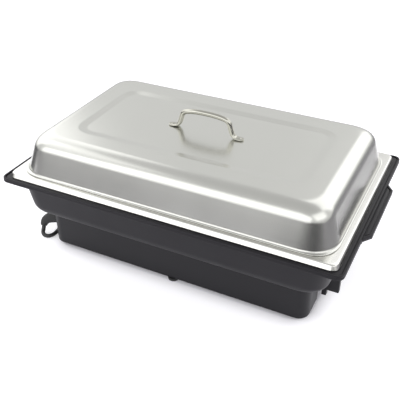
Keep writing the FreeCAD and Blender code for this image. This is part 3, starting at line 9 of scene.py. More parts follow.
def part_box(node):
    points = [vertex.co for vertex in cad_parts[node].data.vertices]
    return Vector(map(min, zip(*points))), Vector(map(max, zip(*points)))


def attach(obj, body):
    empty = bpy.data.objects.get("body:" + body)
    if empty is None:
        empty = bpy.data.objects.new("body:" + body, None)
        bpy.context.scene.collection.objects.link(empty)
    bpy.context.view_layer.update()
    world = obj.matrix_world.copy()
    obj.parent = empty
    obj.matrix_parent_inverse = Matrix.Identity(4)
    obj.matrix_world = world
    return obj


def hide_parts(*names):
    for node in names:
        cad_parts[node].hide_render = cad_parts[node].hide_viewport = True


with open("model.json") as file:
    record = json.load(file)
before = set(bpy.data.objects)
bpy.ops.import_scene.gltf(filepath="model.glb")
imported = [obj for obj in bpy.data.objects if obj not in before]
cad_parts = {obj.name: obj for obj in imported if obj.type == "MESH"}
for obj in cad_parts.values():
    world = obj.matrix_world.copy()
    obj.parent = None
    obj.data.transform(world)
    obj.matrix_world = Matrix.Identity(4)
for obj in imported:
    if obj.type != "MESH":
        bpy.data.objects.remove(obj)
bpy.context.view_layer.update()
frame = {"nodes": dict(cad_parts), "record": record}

# Looks of the electric chafing dish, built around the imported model. Metres, +Z up, -Y the front.
# Routes and outlines are in mm. An outline has rows of a reach, and a radius past its piece's own.
MM = 0.001
UP = Vector((0, 0, 1))

# Places read from the frame
pan_half_x, pan_half_y, pan_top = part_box("food_pan")[1]
lip_half_x, lip_half_y, lid_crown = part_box("lid")[1]
lid_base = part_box("lid")[0].z
rim_half_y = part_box("water_bath")[1].y
housing_low, housing_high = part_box("base_housing")
tub_bottom = housing_high.z
grip_low, grip_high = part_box("right_handle")

# Middle of a flat floor or crown, where its rings end
middle_x = 60.0 * MM
middle_y = 20.0 * MM
middle_corner = 5.0 * MM

# Food pan, one folded sheet
pan_sheet = 0.9 * MM
pan_skirt = 7.0 * MM
pan_flare = 3.5 * MM              # of the skirt, outwards on its way down
pan_corner = 12.0 * MM
pan_mouth_x = 246.0 * MM
pan_mouth_y = 142.0 * MM
pan_mouth_corner = 48.0 * MM
pan_taper = 10.0 * MM             # of the walls, inwards on their way down
pan_depth = 65.0 * MM
pan_foot_round = 12.0 * MM
pan_mouth_round = 3.0 * MM
pan_edge_round = 2.6 * MM
pan_hem_round = 0.3 * MM

# Lid: lip, wall, crown and sunk panel
lid_sheet = 1.0 * MM
lip_corner = 37.0 * MM
lip_thickness = 1.4 * MM
lip_fall = 0.4 * MM               # of the lip's top, from the wall to its edge
lip_top_round = 0.6 * MM
lip_under_round = 0.5 * MM
lip_inner_round = 1.0 * MM
lip_reach_end = 1.4 * MM          # of the lip past the wall
lip_reach_side = 1.8 * MM
lid_wall_x = lip_half_x - lip_reach_end
lid_wall_y = lip_half_y - lip_reach_side
lid_wall_corner = 42.0 * MM
lid_crown_corner = 26.0 * MM
lid_foot = 0.4 * MM               # of the wall's foot, inside the line that the lip reaches past
lid_cove = 4.5 * MM               # rounding between the lip and the wall
lid_lean = 18.4 * MM              # of the wall, inwards on its way up
lid_round = 26.5 * MM             # rounding of the crown's edge
panel_x = 190.0 * MM
panel_y = 88.0 * MM
panel_corner = 30.0 * MM
panel_slope = 13.0 * MM           # width of the slope down to the panel
panel_depth = 2.0 * MM
panel_round = 9.0 * MM

# Handle of the lid: its middle line in mm, out from the lid's middle and up from the panel
handle_line = (
    (0.0, 31.65), (10.0, 31.5), (20.0, 30.8), (29.0, 29.4), (35.0, 27.6), (39.0, 24.0), (41.0, 18.8),
    (43.2, 11.8), (45.6, 6.4), (49.0, 3.2), (54.0, 1.9), (60.0, 1.5), (64.0, 1.4))
handle_reach = handle_line[-1][0] * MM
rod_half = 4.1 * MM
pad_wide = 5.6 * MM
pad_tall = 1.4 * MM
pad_start = 43.0 * MM
pad_blend = 9.0 * MM              # length over which the rod turns into the pad
pad_tip = 0.02                    # square of the share that is left of the pad's width at its tip
ROUND = 2.0                       # squareness of a round section
PAD_SQUARE = 3.4                  # and of the pad's section

# Rivets of the lid's handle
rivet_head = 3.6 * MM
rivet_shank = 2.0 * MM
rivet_dome = 1.5 * MM
rivet_tip = 0.2 * MM
rivet_foot_outline = ((0.0, -0.36), (0.3, 0.0), (1.4, 0.0))

# Water bath moulding
rim_half_x = 274.0 * MM
rim_corner = 11.0 * MM
rim_lip = 3.5 * MM
rim_line_drop = 4.0 * MM          # from the lip down to the fine line round the rim
rim_line_width = 1.0 * MM
rim_line_depth = 0.7 * MM
rim_step = 0.3 * MM
rim_bottom = 131.5 * MM
rim_top = 138.5 * MM
channel_floor = 137.3 * MM
channel_groove = 1.3 * MM         # width of the fine groove inside the rim's lip
channel_groove_depth = 1.6 * MM
rib_x = 262.1 * MM
rib_y = 159.6 * MM
rib_corner = 9.1 * MM
rib_top = 143.8 * MM
rib_width = 4.0 * MM
tub_top_x = 254.5 * MM
tub_top_y = 155.9 * MM
tub_lean = 7.6 * MM
tub_corner = 28.0 * MM
tub_wall = 3.0 * MM
well_x = -20.0 * MM
well_half_x = 170.0 * MM
well_half_y = 114.0 * MM
well_corner = 20.0 * MM
well_floor = 41.0 * MM
window_half_x = 132.0 * MM
window_half_y = 62.0 * MM
window_corner = 11.0 * MM

# Roundings of the moulding
tub_round = 16.0 * MM
well_round = 5.0 * MM
ledge_round = 2.0 * MM
under_round = 1.5 * MM            # between the tub and the rim's underside
inside_round = 1.0 * MM
lip_round = 0.8 * MM
lip_inside_round = 0.7 * MM
edge_round = 0.6 * MM
channel_round = 0.5 * MM
window_round = 0.4 * MM
line_low_round = 0.25 * MM
groove_round = 0.2 * MM
line_round = 0.1 * MM

# Grips at the ends of the rim
handle_root = 77.0 * MM
handle_tip = 62.5 * MM
handle_border = 3.0 * MM
handle_rim_gap = 0.5 * MM         # from the rim to the groove
handle_groove = 1.7 * MM          # width of the groove inside the border
handle_recess = 1.8 * MM          # depth of the groove
handle_sink = 0.7 * MM            # of the panel inside the groove
handle_round = 0.6 * MM
handle_sharp = math.radians(20)   # least bend of an edge that is rounded
touch = 0.02 * MM                 # kept between faces that would lie in one plane

# Feet under the long sides
edge_foot_radius = 8.8 * MM
edge_foot_inset = 6.2 * MM        # of the foot's middle from the housing's face
edge_foot_outline = ((0.0, -1.2), (0.5, -0.3), (1.4, 0.0), (3.3, 0.0), (3.9, -0.6))

# Route of the mains cord, in mm: the free stretch, the coil and the lead to the plug
free_route = (
    (-254.9, -112.2, 15.0), (-254.9, -115.4, 8.2), (-252.6, -120.6, 4.9), (-246.2, -124.4, 3.9),
    (-238.0, -122.6, 3.6), (-234.0, -114.6, 3.6), (-234.6, -102.0, 3.6), (-238.8, -78.0, 3.6),
    (-242.0, -34.0, 3.6), (-238.5, 16.0, 3.6), (-236.0, 62.0, 3.6), (-231.0, 106.0, 3.6),
    (-217.0, 142.0, 3.6), (-202.0, 172.0, 3.6), (-196.0, 200.0, 3.6), (-196.0, 226.0, 3.6))
lead_route = (
    (-104.0, 226.0, 11.2), (-104.0, 206.0, 11.2), (-92.0, 183.0, 13.4), (-68.0, 168.0, 18.8),
    (-44.0, 166.0, 18.8))
cord_radius = 3.5
coil_centre_x = -150.0
coil_centre_y = 234.0
coil_outer = 46.0
coil_pitch = 7.7
coil_rise = 7.6
coil_layer_turns = 2.25
coil_climb = 0.5                  # turns that the cord takes to climb to the upper layer
coil_steps = 16                   # control points in a turn

# Elbow of the cord, in mm: places, radii and headings along it, and the flange in the housing's wall
boot_places = (
    (-224.5, -99.5, 33.0), (-233.0, -101.3, 32.6), (-244.0, -105.4, 29.8),
    (-251.5, -108.6, 24.6), (-254.6, -110.9, 18.3), (-254.9, -112.2, 15.0))
boot_radii = (10.8, 10.2, 9.2, 8.0, 6.4, 5.2)
boot_aims = (
    (-1.0, 0.0, 0.0), (-1.0, -0.2, -0.1), (-0.9, -0.34, -0.5),
    (-0.5, -0.3, -0.85), (-0.1, -0.35, -1.0), (0.0, -0.425, -0.905))
boot_flange = ((5.0, 10.2), (3.0, 10.2), (3.0, 8.5), (0.0, 8.5), (0.0, 11.2), (-1.6, 11.2))

# Mains plug
plug_grip = 16.0 * MM
plug_body = 34.0 * MM
plug_radius = 18.45 * MM
plug_groove = 6.4 * MM
plug_groove_floor = 16.85 * MM
plug_groove_length = 22.2 * MM
plug_groove_end = 0.05 * MM
plug_ribs = 6
plug_rib_start = 2.4 * MM
plug_rib_pitch = 2.0 * MM
plug_rib_radius = 9.3 * MM
plug_rib_swell = 0.62 * MM        # of the radius, from a rib to the next
plug_rib_outline = ((0.0, 0.0), (0.9, 0.25), (1.1, -0.55), (1.8, -0.45))
plug_tail_outline = ((0.0, 4.4), (0.2, 7.6), (1.2, 8.8))
plug_shoulder = 4.0 * MM
plug_shoulder_outline = ((-0.4, 12.9), (0.2, 16.0), (2.0, 18.0))
plug_nose = 1.6 * MM
plug_nose_outline = ((-0.4, 18.0), (-0.02, 17.3))
plug_pin_outline = ((-3.0, 2.4), (17.4, 2.4), (18.5, 1.9), (19.0, 0.9))
plug_pin_pitch = 19.0 * MM

# Control knob, its grip bar and its mark
knob_outline = (
    (0.0, -0.4), (0.4, 0.0), (1.4, 0.0), (2.0, -0.8), (5.4, -1.2), (6.4, -2.0), (7.2, -3.6), (8.0, -4.6))
knob_back = 0.55                  # share of the radius at which the outline starts
knob_middle = 1.0 * MM
knob_face = knob_outline[-1][0] * MM
bar_start = 7.0 * MM
bar_width = 8.0 * MM
bar_margin = 2.0 * MM             # from the bar's ends to the knob's edge
bar_taper = 0.8                   # of its width towards the front
bar_end_taper = 0.93
bar_round = 1.3 * MM
mark_thickness = 0.24 * MM
mark_sink = 0.06 * MM             # of its middle under the bar's face
mark_width = 1.2 * MM
mark_place = 0.52                 # of its middle, as a share of the knob's radius
mark_length = 0.46                # and its length
mark_round = 0.05 * MM

# Finishes: repeats per metre, shares of a colour, steps of roughness and depths
EVEN = (1.0, 1.0, 1.0)
BRUSHED = (0.012, 1.0, 1.0)       # stretch of the finish along X
steel_cloud = 11.0
steel_grain = 1500.0
steel_tint = 0.015
steel_grain_roughness = 0.012
steel_grain_depth = 0.02 * MM
plastic_cloud = 14.0
plastic_tint = 0.08
plastic_cloud_roughness = 0.04
plastic_grain_depth = 0.05 * MM
matt_roughness = 0.9
matt_gloss = 0.1

# Camera, fitted to the photograph
camera_place = (387.6 * MM, -797.2 * MM, 663.8 * MM)
camera_yaw = 26.516
camera_pitch = 33.613
camera_roll = -0.171
camera_lens = 57.80
camera_sensor = 36.0
camera_sight = 50.0

# Studio
floor_reach = 6.0
floor_low = (0.76, 0.75, 0.80)
floor_high = (0.78, 0.77, 0.82)
# Painted pool of light: the floor's glow fades away from its centre
pool_centre = (-0.25, 0.5, 0.0)
pool_inner = 1.1
pool_outer = 2.6
pool_glow = 0.45
pool_edge_glow = 0.12
# Painted shadow: the floor's glow is cut down beside the housing's footprint
painted_shadow_reach = 22.0 * MM          # of the shadow's edge from the housing
painted_shadow_corner = 34.0 * MM         # of the footprint
painted_shadow_glow = 0.15                # share of the glow that is left beside the housing
camera_share = 1.2                # of the glow that the camera itself sees, so that the shadow stays
# Flags: dark sheets that only glossy rays see, painted dark reflections in the metal
flag_low = (0.92, 0.90, 0.96)
flag_high = (1.08, 1.06, 1.12)
flag_lift = 1.0 * MM
flags = {
    # first and last bearing in degrees from +Y towards +X, near and far reach, top, level
    "flag_corner": (104.0, 190.0, 0.55, 1.5, 0.42, 0.07),
    "flag_right": (4.0, 140.0, 0.56, 1.5, 0.24, 0.30),
    "flag_left": (-180.0, -106.0, 0.95, 2.6, 0.18, 0.26),
    "flag_left_end": (-122.0, -78.0, 0.56, 2.6, 0.24, 0.10),
}
sky_levels = (
    # height from -1 straight down to 1 straight up, level
    (-1.0, 0.40), (-0.06, 0.50), (0.05, 0.52), (0.16, 0.90), (0.55, 0.92), (0.80, 0.74), (1.0, 0.66))
lamps = {
    # bearing, lowest and highest elevation, width in degrees, distance in metres, level added
    "front_strip": (-172.0, 5.5, 45.0, 52.0, 1.9, 1.00),
    "front_left_strip": (-140.0, 6.0, 31.0, 16.0, 1.9, 1.05),
    "corner_box": (112.0, 24.0, 58.0, 50.0, 1.7, 0.85),
    "back_right_box": (30.0, 9.0, 62.0, 48.0, 1.8, 0.92),
    "left_box": (-76.0, 8.0, 54.0, 54.0, 1.8, 0.85),
    "left_top_box": (-112.0, 34.0, 56.0, 32.0, 1.8, 0.75),
}

# Mesh steps
FLAG_STEP = 6.0
FLAG_TAPER = 0.6        # power of the fade towards a flag's two ends
CORNER_STEPS = 24
CORNER_POWER = 2.5      # of a corner's curve, where 2 is a circle
CORNER_REACH = 1.21     # of that curve past the corner's radius
CORNER_LEAST = 0.3 * MM
ROUND_STEPS = 14        # at most, in one rounding
ROUND_TURN = math.radians(6)
ROUND_SHARE = 0.47      # of a stretch, the most that the rounding at one end takes
GUARD = 1.2 * MM        # of flat beside each rounding, so that the flats shade flat
DOME_STEPS = 6
LINE_STEPS = 6
PLUG_STEPS = 26
TURNED_SIDES = 40
HANDLE_SIDES = 28
BOOT_SIDES = 32
PIN_SIDES = 24
KNOB_SIDES = 72

# Least bend in degrees that stays a sharp edge
SHARP = 40
SWEEP_SHARP = 50
PLUG_SHARP = 38


def place(name, data):
    """Object of a mesh, curve, lamp or camera, in the scene."""
    piece = bpy.data.objects.new(name, data)
    bpy.context.scene.collection.objects.link(piece)
    return piece


def link(name, data, body, slot=None):
    """Piece that rides on a body, in the material of a record slot."""
    piece = place(name, data)
    if slot:
        data.materials.append(materials[slot])
    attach(piece, body)
    return piece


def smooth(mesh, angle=None):
    """Smooth shading, with edges over an angle in degrees kept sharp."""
    mesh.polygons.foreach_set("use_smooth", [True] * len(mesh.polygons))
    if angle is not None:
        mesh.set_sharp_from_angle(angle=math.radians(angle))
    mesh.update()


def mesh_of(name, shape):
    """Mesh of a finished bmesh."""
    mesh = bpy.data.meshes.new(name)
    shape.to_mesh(mesh)
    shape.free()
    return mesh


def skin(name, loops, closed=False, angle=None):
    """Mesh over loops of points, faces outwards, capped at both ends unless it closes on itself."""
    count = len(loops)
    width = len(loops[0])
    faces = []
    for row in range(count if closed else count - 1):
        low = row * width
        high = (row + 1) % count * width
        for column in range(width):
            after = (column + 1) % width
            faces.append((low + column, low + after, high + after, high + column))
    if not closed:
        faces.append(tuple(reversed(range(width))))
        faces.append(tuple(range((count - 1) * width, count * width)))
    mesh = bpy.data.meshes.new(name)
    mesh.from_pydata([tuple(point) for loop in loops for point in loop], [], faces)
    mesh.validate()
    shell = bmesh.new()
    shell.from_mesh(mesh)
    bmesh.ops.recalc_face_normals(shell, faces=shell.faces)
    shell.to_mesh(mesh)
    shell.free()
    smooth(mesh, angle)
    return mesh


def ease(value):
    """Value kept from 0 to 1, with both ends eased."""
    value = min(max(value, 0.0), 1.0)
    return value * value * (3 - 2 * value)


def ring(plate, z, rounding=0.0, inset=0.0):
    """Ring of a profile: a plate (half x, half y, corner, centre x) drawn in by an inset, at a height."""
    half_x, half_y, corner, centre_x = plate
    return (half_x - inset, half_y - inset, corner - inset, z, centre_x, rounding)


def middle_ring(z):
    """Small ring in the middle of a floor or crown."""
    return ring((middle_x, middle_y, middle_corner, 0.0), z)


def plate_ring(half_x, half_y, radius, z, centre_x):
    """Points round a rectangle whose corners turn in gently, as far as corners of the radius would."""
    reach = max(radius, CORNER_LEAST) * CORNER_REACH
    power = 2 / CORNER_POWER
    points = []
    for quarter in range(4):
        sign_x = (1, -1, -1, 1)[quarter]
        sign_y = (1, 1, -1, -1)[quarter]
        hub_x = centre_x + sign_x * (half_x - reach)
        hub_y = sign_y * (half_y - reach)
        for step in range(CORNER_STEPS + 1):
            angle = math.pi / 2 * (quarter + step / CORNER_STEPS)
            across = abs(math.cos(angle)) ** power
            along = abs(math.sin(angle)) ** power
            points.append((hub_x + sign_x * reach * across, hub_y + sign_y * reach * along, z))
    return points


def soften(rings, closed):
    """Plates (half x, half y, corner, z, centre x) of a profile whose bends are rounded."""
    dense = []
    count = len(rings)
    for index, bend in enumerate(rings):
        here = Vector(bend[:5])
        rounding = bend[5]
        at_end = (index == 0 or index == count - 1) and not closed
        if at_end or rounding <= 0:
            dense.append(here)
            continue
        before = Vector(rings[index - 1][:5])
        after = Vector(rings[(index + 1) % count][:5])
        back = Vector((before[0] - here[0], before[3] - here[3]))
        ahead = Vector((after[0] - here[0], after[3] - here[3]))
        turn = math.pi - back.angle(ahead)
        setback = rounding * math.tan(turn / 2)
        share_back = min(setback / back.length, ROUND_SHARE)
        share_ahead = min(setback / ahead.length, ROUND_SHARE)
        start = here + (before - here) * share_back
        end = here + (after - here) * share_ahead
        weight = math.cos(turn / 2)
        steps = max(3, min(ROUND_STEPS, int(turn / ROUND_TURN) + 1))
        if back.length * (0.5 - share_back) > GUARD:
            dense.append(here + (before - here) * (share_back + GUARD / back.length))
        for step in range(steps + 1):
            share = step / steps
            low = (1 - share) ** 2
            middle = 2 * share * (1 - share) * weight
            high = share ** 2
            dense.append((start * low + here * middle + end * high) / (low + middle + high))
        if ahead.length * (0.5 - share_ahead) > GUARD:
            dense.append(here + (after - here) * (share_ahead + GUARD / ahead.length))
    return dense


def loft(name, rings, closed=False):
    """Mesh through the softened rings of a profile."""
    return skin(name, [plate_ring(*bend) for bend in soften(rings, closed)], closed)


def sweep(name, stations, sides):
    """Mesh along stations of (centre, across, up, half width, half height, squareness)."""
    loops = []
    for centre, across, up, wide, tall, square in stations:
        power = 2.0 / square
        loop = []
        for index in range(sides):
            angle = 2 * math.pi * index / sides
            right = math.copysign(abs(math.cos(angle)) ** power, math.cos(angle))
            rise = math.copysign(abs(math.sin(angle)) ** power, math.sin(angle))
            loop.append(centre + across * (wide * right) + up * (tall * rise))
        loops.append(loop)
    return skin(name, loops, angle=SWEEP_SHARP)


def lathe(name, profile, base, aim=UP, sides=TURNED_SIDES):
    """Mesh turned from (reach along aim, radius) points about an axis."""
    aim = aim.normalized()
    side = aim.orthogonal().normalized()
    other = aim.cross(side)
    loops = []
    for reach, radius in profile:
        loop = []
        centre = Vector(base) + aim * reach
        for index in range(sides):
            angle = 2 * math.pi * index / sides
            loop.append(centre + (side * math.cos(angle) + other * math.sin(angle)) * radius)
        loops.append(loop)
    return skin(name, loops, angle=SHARP)


def profile_of(outline, start=0.0, radius=0.0):
    """Profile of a turned piece from its outline in mm, past a start and a radius in metres."""
    return [(start + reach * MM, radius + rise * MM) for reach, rise in outline]


def block(name, corner, rounding, segments, profile):
    """Bevelled block; corner gives the place of each corner of a cube from -0.5 to 0.5."""
    shape = bmesh.new()
    bmesh.ops.create_cube(shape, size=1.0)
    for vert in shape.verts:
        vert.co = corner(*vert.co)
    bmesh.ops.bevel(shape, geom=list(shape.edges), offset=rounding, segments=segments, profile=profile,
                    affect="EDGES")
    return mesh_of(name, shape)


def smooth_line(points):
    """Points along a Catmull-Rom line through the given ones."""
    places = [Vector(point) for point in points]
    places = [places[0] * 2 - places[1]] + places + [places[-1] * 2 - places[-2]]
    line = []
    for index in range(1, len(places) - 2):
        before, start, end, after = places[index - 1:index + 3]
        for step in range(LINE_STEPS):
            share = step / LINE_STEPS
            line.append(0.5 * (2 * start + (end - before) * share
                               + (2 * before - 5 * start + 4 * end - after) * share ** 2
                               + (3 * start - before - 3 * end + after) * share ** 3))
    line.append(places[-2])
    return line


def add(tree, kind, **values):
    """New node with its inputs or settings given by name."""
    node = tree.nodes.new(kind)
    for name, value in values.items():
        if name in node.inputs:
            node.inputs[name].default_value = value
        else:
            setattr(node, name, value)
    return node


def feed(tree, node, values):
    """Set or link the first inputs of a node, each from a value or from another node's output."""
    for socket, value in zip(node.inputs, values):
        if isinstance(value, bpy.types.NodeSocket):
            tree.links.new(value, socket)
        else:
            socket.default_value = value
    return node


def maths(tree, operation, *values):
    """Result of a math node."""
    return feed(tree, add(tree, "ShaderNodeMath", operation=operation), values).outputs["Value"]


def vector_maths(tree, operation, *values, output="Vector"):
    """Result of a vector math node."""
    return feed(tree, add(tree, "ShaderNodeVectorMath", operation=operation), values).outputs[output]


def new_material(name):
    """Empty node material, its tree, shader and object coordinates."""
    material = bpy.data.materials.new(name)
    material.use_nodes = True
    tree = material.node_tree
    tree.nodes.clear()
    output = tree.nodes.new("ShaderNodeOutputMaterial")
    shader = tree.nodes.new("ShaderNodeBsdfPrincipled")
    tree.links.new(shader.outputs["BSDF"], output.inputs["Surface"])
    coords = tree.nodes.new("ShaderNodeTexCoord")
    return material, tree, shader, coords.outputs["Object"]


def noise(tree, coords, scale, detail=2.0, stretch=EVEN):
    """Noise value on stretched coordinates; scale is in repeats per metre."""
    mapping = add(tree, "ShaderNodeMapping", Scale=tuple(scale * part for part in stretch))
    tree.links.new(coords, mapping.inputs["Vector"])
    texture = add(tree, "ShaderNodeTexNoise", Scale=1.0, Detail=detail)
    tree.links.new(mapping.outputs["Vector"], texture.inputs["Vector"])
    return texture.outputs["Fac"]


def spread(tree, value, low, high, from_low=0.3, from_high=0.7, kind="LINEAR"):
    """Map a value from one range to another; the first range suits a noise value."""
    node = add(tree, "ShaderNodeMapRange", interpolation_type=kind)
    node.inputs["From Min"].default_value = from_low
    node.inputs["From Max"].default_value = from_high
    node.inputs["To Min"].default_value = low
    node.inputs["To Max"].default_value = high
    tree.links.new(value, node.inputs["Value"])
    return node.outputs["Result"]


def tint(tree, shader, value, low, high):
    """Colour of a shader, mixed from two colours by a value."""
    node = add(tree, "ShaderNodeMix", data_type="RGBA")
    node.inputs["A"].default_value = (*low, 1)
    node.inputs["B"].default_value = (*high, 1)
    tree.links.new(value, node.inputs["Factor"])
    tree.links.new(node.outputs["Result"], shader.inputs["Base Color"])


def tint_round(tree, shader, value, colour, share):
    """Colour of a shader that varies by a share round one colour."""
    low = tuple(part * (1 - share) for part in colour)
    high = tuple(min(part * (1 + share), 1.0) for part in colour)
    tint(tree, shader, value, low, high)


def bump(tree, shader, height, strength, distance):
    """Bump of a shader from a height value."""
    node = add(tree, "ShaderNodeBump", Strength=strength, Distance=distance)
    tree.links.new(height, node.inputs["Height"])
    tree.links.new(node.outputs["Normal"], shader.inputs["Normal"])


def matt(shader):
    """Paper or cloth without a shine."""
    shader.inputs["Roughness"].default_value = matt_roughness
    shader.inputs["Specular IOR Level"].default_value = matt_gloss


def satin_steel(name, colour, roughness, brush=EVEN, brush_strength=0.012, smudge=0.025):
    """Metal sheet with a fine satin finish and faint handling marks."""
    material, tree, shader, coords = new_material(name)
    shader.inputs["Metallic"].default_value = 1.0
    wide = noise(tree, coords, steel_cloud, detail=3.0)
    fine = noise(tree, coords, steel_grain, stretch=brush)
    tint_round(tree, shader, wide, colour, steel_tint)
    marks = spread(tree, wide, roughness - smudge / 2, roughness + smudge / 2)
    grain = spread(tree, fine, -steel_grain_roughness, steel_grain_roughness)
    tree.links.new(maths(tree, "ADD", marks, grain), shader.inputs["Roughness"])
    bump(tree, shader, fine, brush_strength, steel_grain_depth)
    return material


def moulded_plastic(name, colour, roughness, grain=1100.0, strength=0.25, gloss=0.5):
    """Injection-moulded plastic with a spark-eroded grain."""
    material, tree, shader, coords = new_material(name)
    shader.inputs["Specular IOR Level"].default_value = gloss
    wide = noise(tree, coords, plastic_cloud, detail=3.0)
    fine = noise(tree, coords, grain, detail=3.0)
    tint_round(tree, shader, wide, colour, plastic_tint)
    marks = spread(tree, wide, roughness - plastic_cloud_roughness, roughness + plastic_cloud_roughness)
    tree.links.new(marks, shader.inputs["Roughness"])
    bump(tree, shader, fine, strength, plastic_grain_depth)
    return material


def lens_plastic(name):
    """Clear orange plastic of the pilot lamp."""
    material, tree, shader, coords = new_material(name)
    tint(tree, shader, noise(tree, coords, scale=120.0), (0.80, 0.13, 0.02), (0.95, 0.24, 0.05))
    shader.inputs["Roughness"].default_value = 0.12
    shader.inputs["Transmission Weight"].default_value = 0.6
    shader.inputs["IOR"].default_value = 1.49
    return material


def white_ink(name):
    """White printing ink of the knob's mark."""
    material, tree, shader, coords = new_material(name)
    tint(tree, shader, noise(tree, coords, scale=300.0), (0.80, 0.80, 0.78), (0.88, 0.88, 0.86))
    shader.inputs["Roughness"].default_value = 0.5
    return material


def make_materials():
    """Every material of the object, by record slot."""
    return {
        "lid_steel": satin_steel("lid_satin_steel", (0.615, 0.617, 0.586), 0.24, BRUSHED),
        "pan_steel": satin_steel("pan_satin_steel", (0.71, 0.705, 0.675), 0.18, BRUSHED),
        "handle_steel": satin_steel("handle_polished_steel", (0.47, 0.465, 0.415), 0.06, EVEN, 0.01, 0.02),
        "bath_plastic": moulded_plastic("bath_black_plastic", (0.006, 0.005, 0.008), 0.42, gloss=0.30),
        "base_plastic": moulded_plastic("base_black_plastic", (0.006, 0.0055, 0.008), 0.40, gloss=0.33),
        "trim_plastic": moulded_plastic("trim_black_plastic", (0.025, 0.025, 0.027), 0.30, 600.0, 0.05),
        "rocker_plastic": moulded_plastic("rocker_black_plastic", (0.018, 0.018, 0.019), 0.18, 600.0, 0.03),
        "rubber": moulded_plastic("foot_rubber", (0.026, 0.026, 0.027), 0.66, 900.0, 0.3),
        "cord_rubber": moulded_plastic("cord_sheath", (0.020, 0.020, 0.022), 0.42, 900.0, 0.12),
        "zinc_steel": satin_steel("zinc_plated_steel", (0.66, 0.67, 0.66), 0.33),
        "plate_aluminium": satin_steel("plate_aluminium", (0.78, 0.78, 0.78), 0.38, (1.0, 0.03, 1.0), 0.08),
        "element_steel": satin_steel("element_oxide_steel", (0.25, 0.23, 0.21), 0.5),
        "seal_silicone": moulded_plastic("seal_silicone", (0.45, 0.10, 0.05), 0.55),
        "copper": satin_steel("bare_copper", (0.78, 0.42, 0.28), 0.32),
        "ceramic": moulded_plastic("cream_ceramic", (0.72, 0.69, 0.62), 0.45, 500.0, 0.08),
        "brass": satin_steel("bare_brass", (0.75, 0.56, 0.28), 0.3),
        "wire_brown": moulded_plastic("wire_brown", (0.14, 0.06, 0.03), 0.4, 500.0, 0.05),
        "wire_blue": moulded_plastic("wire_blue", (0.04, 0.12, 0.42), 0.4, 500.0, 0.05),
        "wire_green": moulded_plastic("wire_green_yellow", (0.25, 0.42, 0.06), 0.4, 500.0, 0.05),
        "plug_nickel": satin_steel("plug_nickel", (0.70, 0.68, 0.62), 0.22),
        "lens_plastic": lens_plastic("lens_orange_plastic"),
    }


def dress_cad_nodes():
    """Give each CAD node the material of its record slot."""
    slots = {row["node"]: row["material_slot"] for row in frame["record"]["subparts"]}
    for name, piece in frame["nodes"].items():
        piece.data.materials.clear()
        piece.data.materials.append(materials[slots[name]])


def make_pan():
    """Food pan: floor, walls, flange and turned-down skirt as one folded sheet."""
    sheet = pan_sheet
    floor = pan_top - pan_depth
    under = pan_top - sheet
    skirt = pan_top - pan_skirt
    foot = (pan_mouth_x - pan_taper, pan_mouth_y - pan_taper, pan_mouth_corner, 0.0)
    mouth = (pan_mouth_x, pan_mouth_y, pan_mouth_corner, 0.0)
    edge = (pan_half_x, pan_half_y, pan_corner, 0.0)
    rings = [
        middle_ring(floor),
        ring(foot, floor, pan_foot_round),
        ring(mouth, pan_top, pan_mouth_round),
        ring(edge, pan_top, pan_edge_round, pan_flare),
        ring(edge, skirt, pan_hem_round),
        ring(edge, skirt, pan_hem_round, sheet),
        ring(edge, under, pan_edge_round - sheet, sheet + pan_flare),
        ring(mouth, under, pan_mouth_round - sheet, -sheet),
        ring(foot, floor - sheet, pan_foot_round + sheet, -sheet),
        middle_ring(floor - sheet),
    ]
    piece = link("pan_sheet", loft("pan_sheet", rings), "food_pan", "pan_steel")
    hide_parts("food_pan")


def lid_side(inset):
    """Rings of one side of the lid's sheet, from the wall's foot to the crown's middle."""
    foot = (lid_wall_x - lid_foot, lid_wall_y - lid_foot, lid_wall_corner, 0.0)
    crown = (lid_wall_x - lid_lean, lid_wall_y - lid_lean, lid_crown_corner, 0.0)
    panel = (panel_x, panel_y, panel_corner, 0.0)
    top = lid_crown - inset
    return [
        ring(foot, lid_base + lip_thickness + lip_fall, lid_cove, inset),
        ring(crown, top, lid_round - inset, inset),
        ring(panel, top, panel_round, -inset),
        ring(panel, top - panel_depth, panel_round, panel_slope - inset),
        middle_ring(top - panel_depth),
    ]


def make_lid():
    """Lid: lip, leaning wall, rounded crown and sunk panel, with its inner face."""
    edge = (lip_half_x, lip_half_y, lip_corner, 0.0)
    wall = (lid_wall_x, lid_wall_y, lid_wall_corner, 0.0)
    lip = [
        ring(edge, lid_base + lip_thickness, lip_top_round),
        ring(edge, lid_base, lip_under_round),
        ring(wall, lid_base, lip_inner_round, lid_sheet),
    ]
    rings = lid_side(0.0)[::-1] + lip + lid_side(lid_sheet)[1:]
    piece = link("lid_sheet", loft("lid_sheet", rings), "lid", "lid_steel")
    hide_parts("lid")


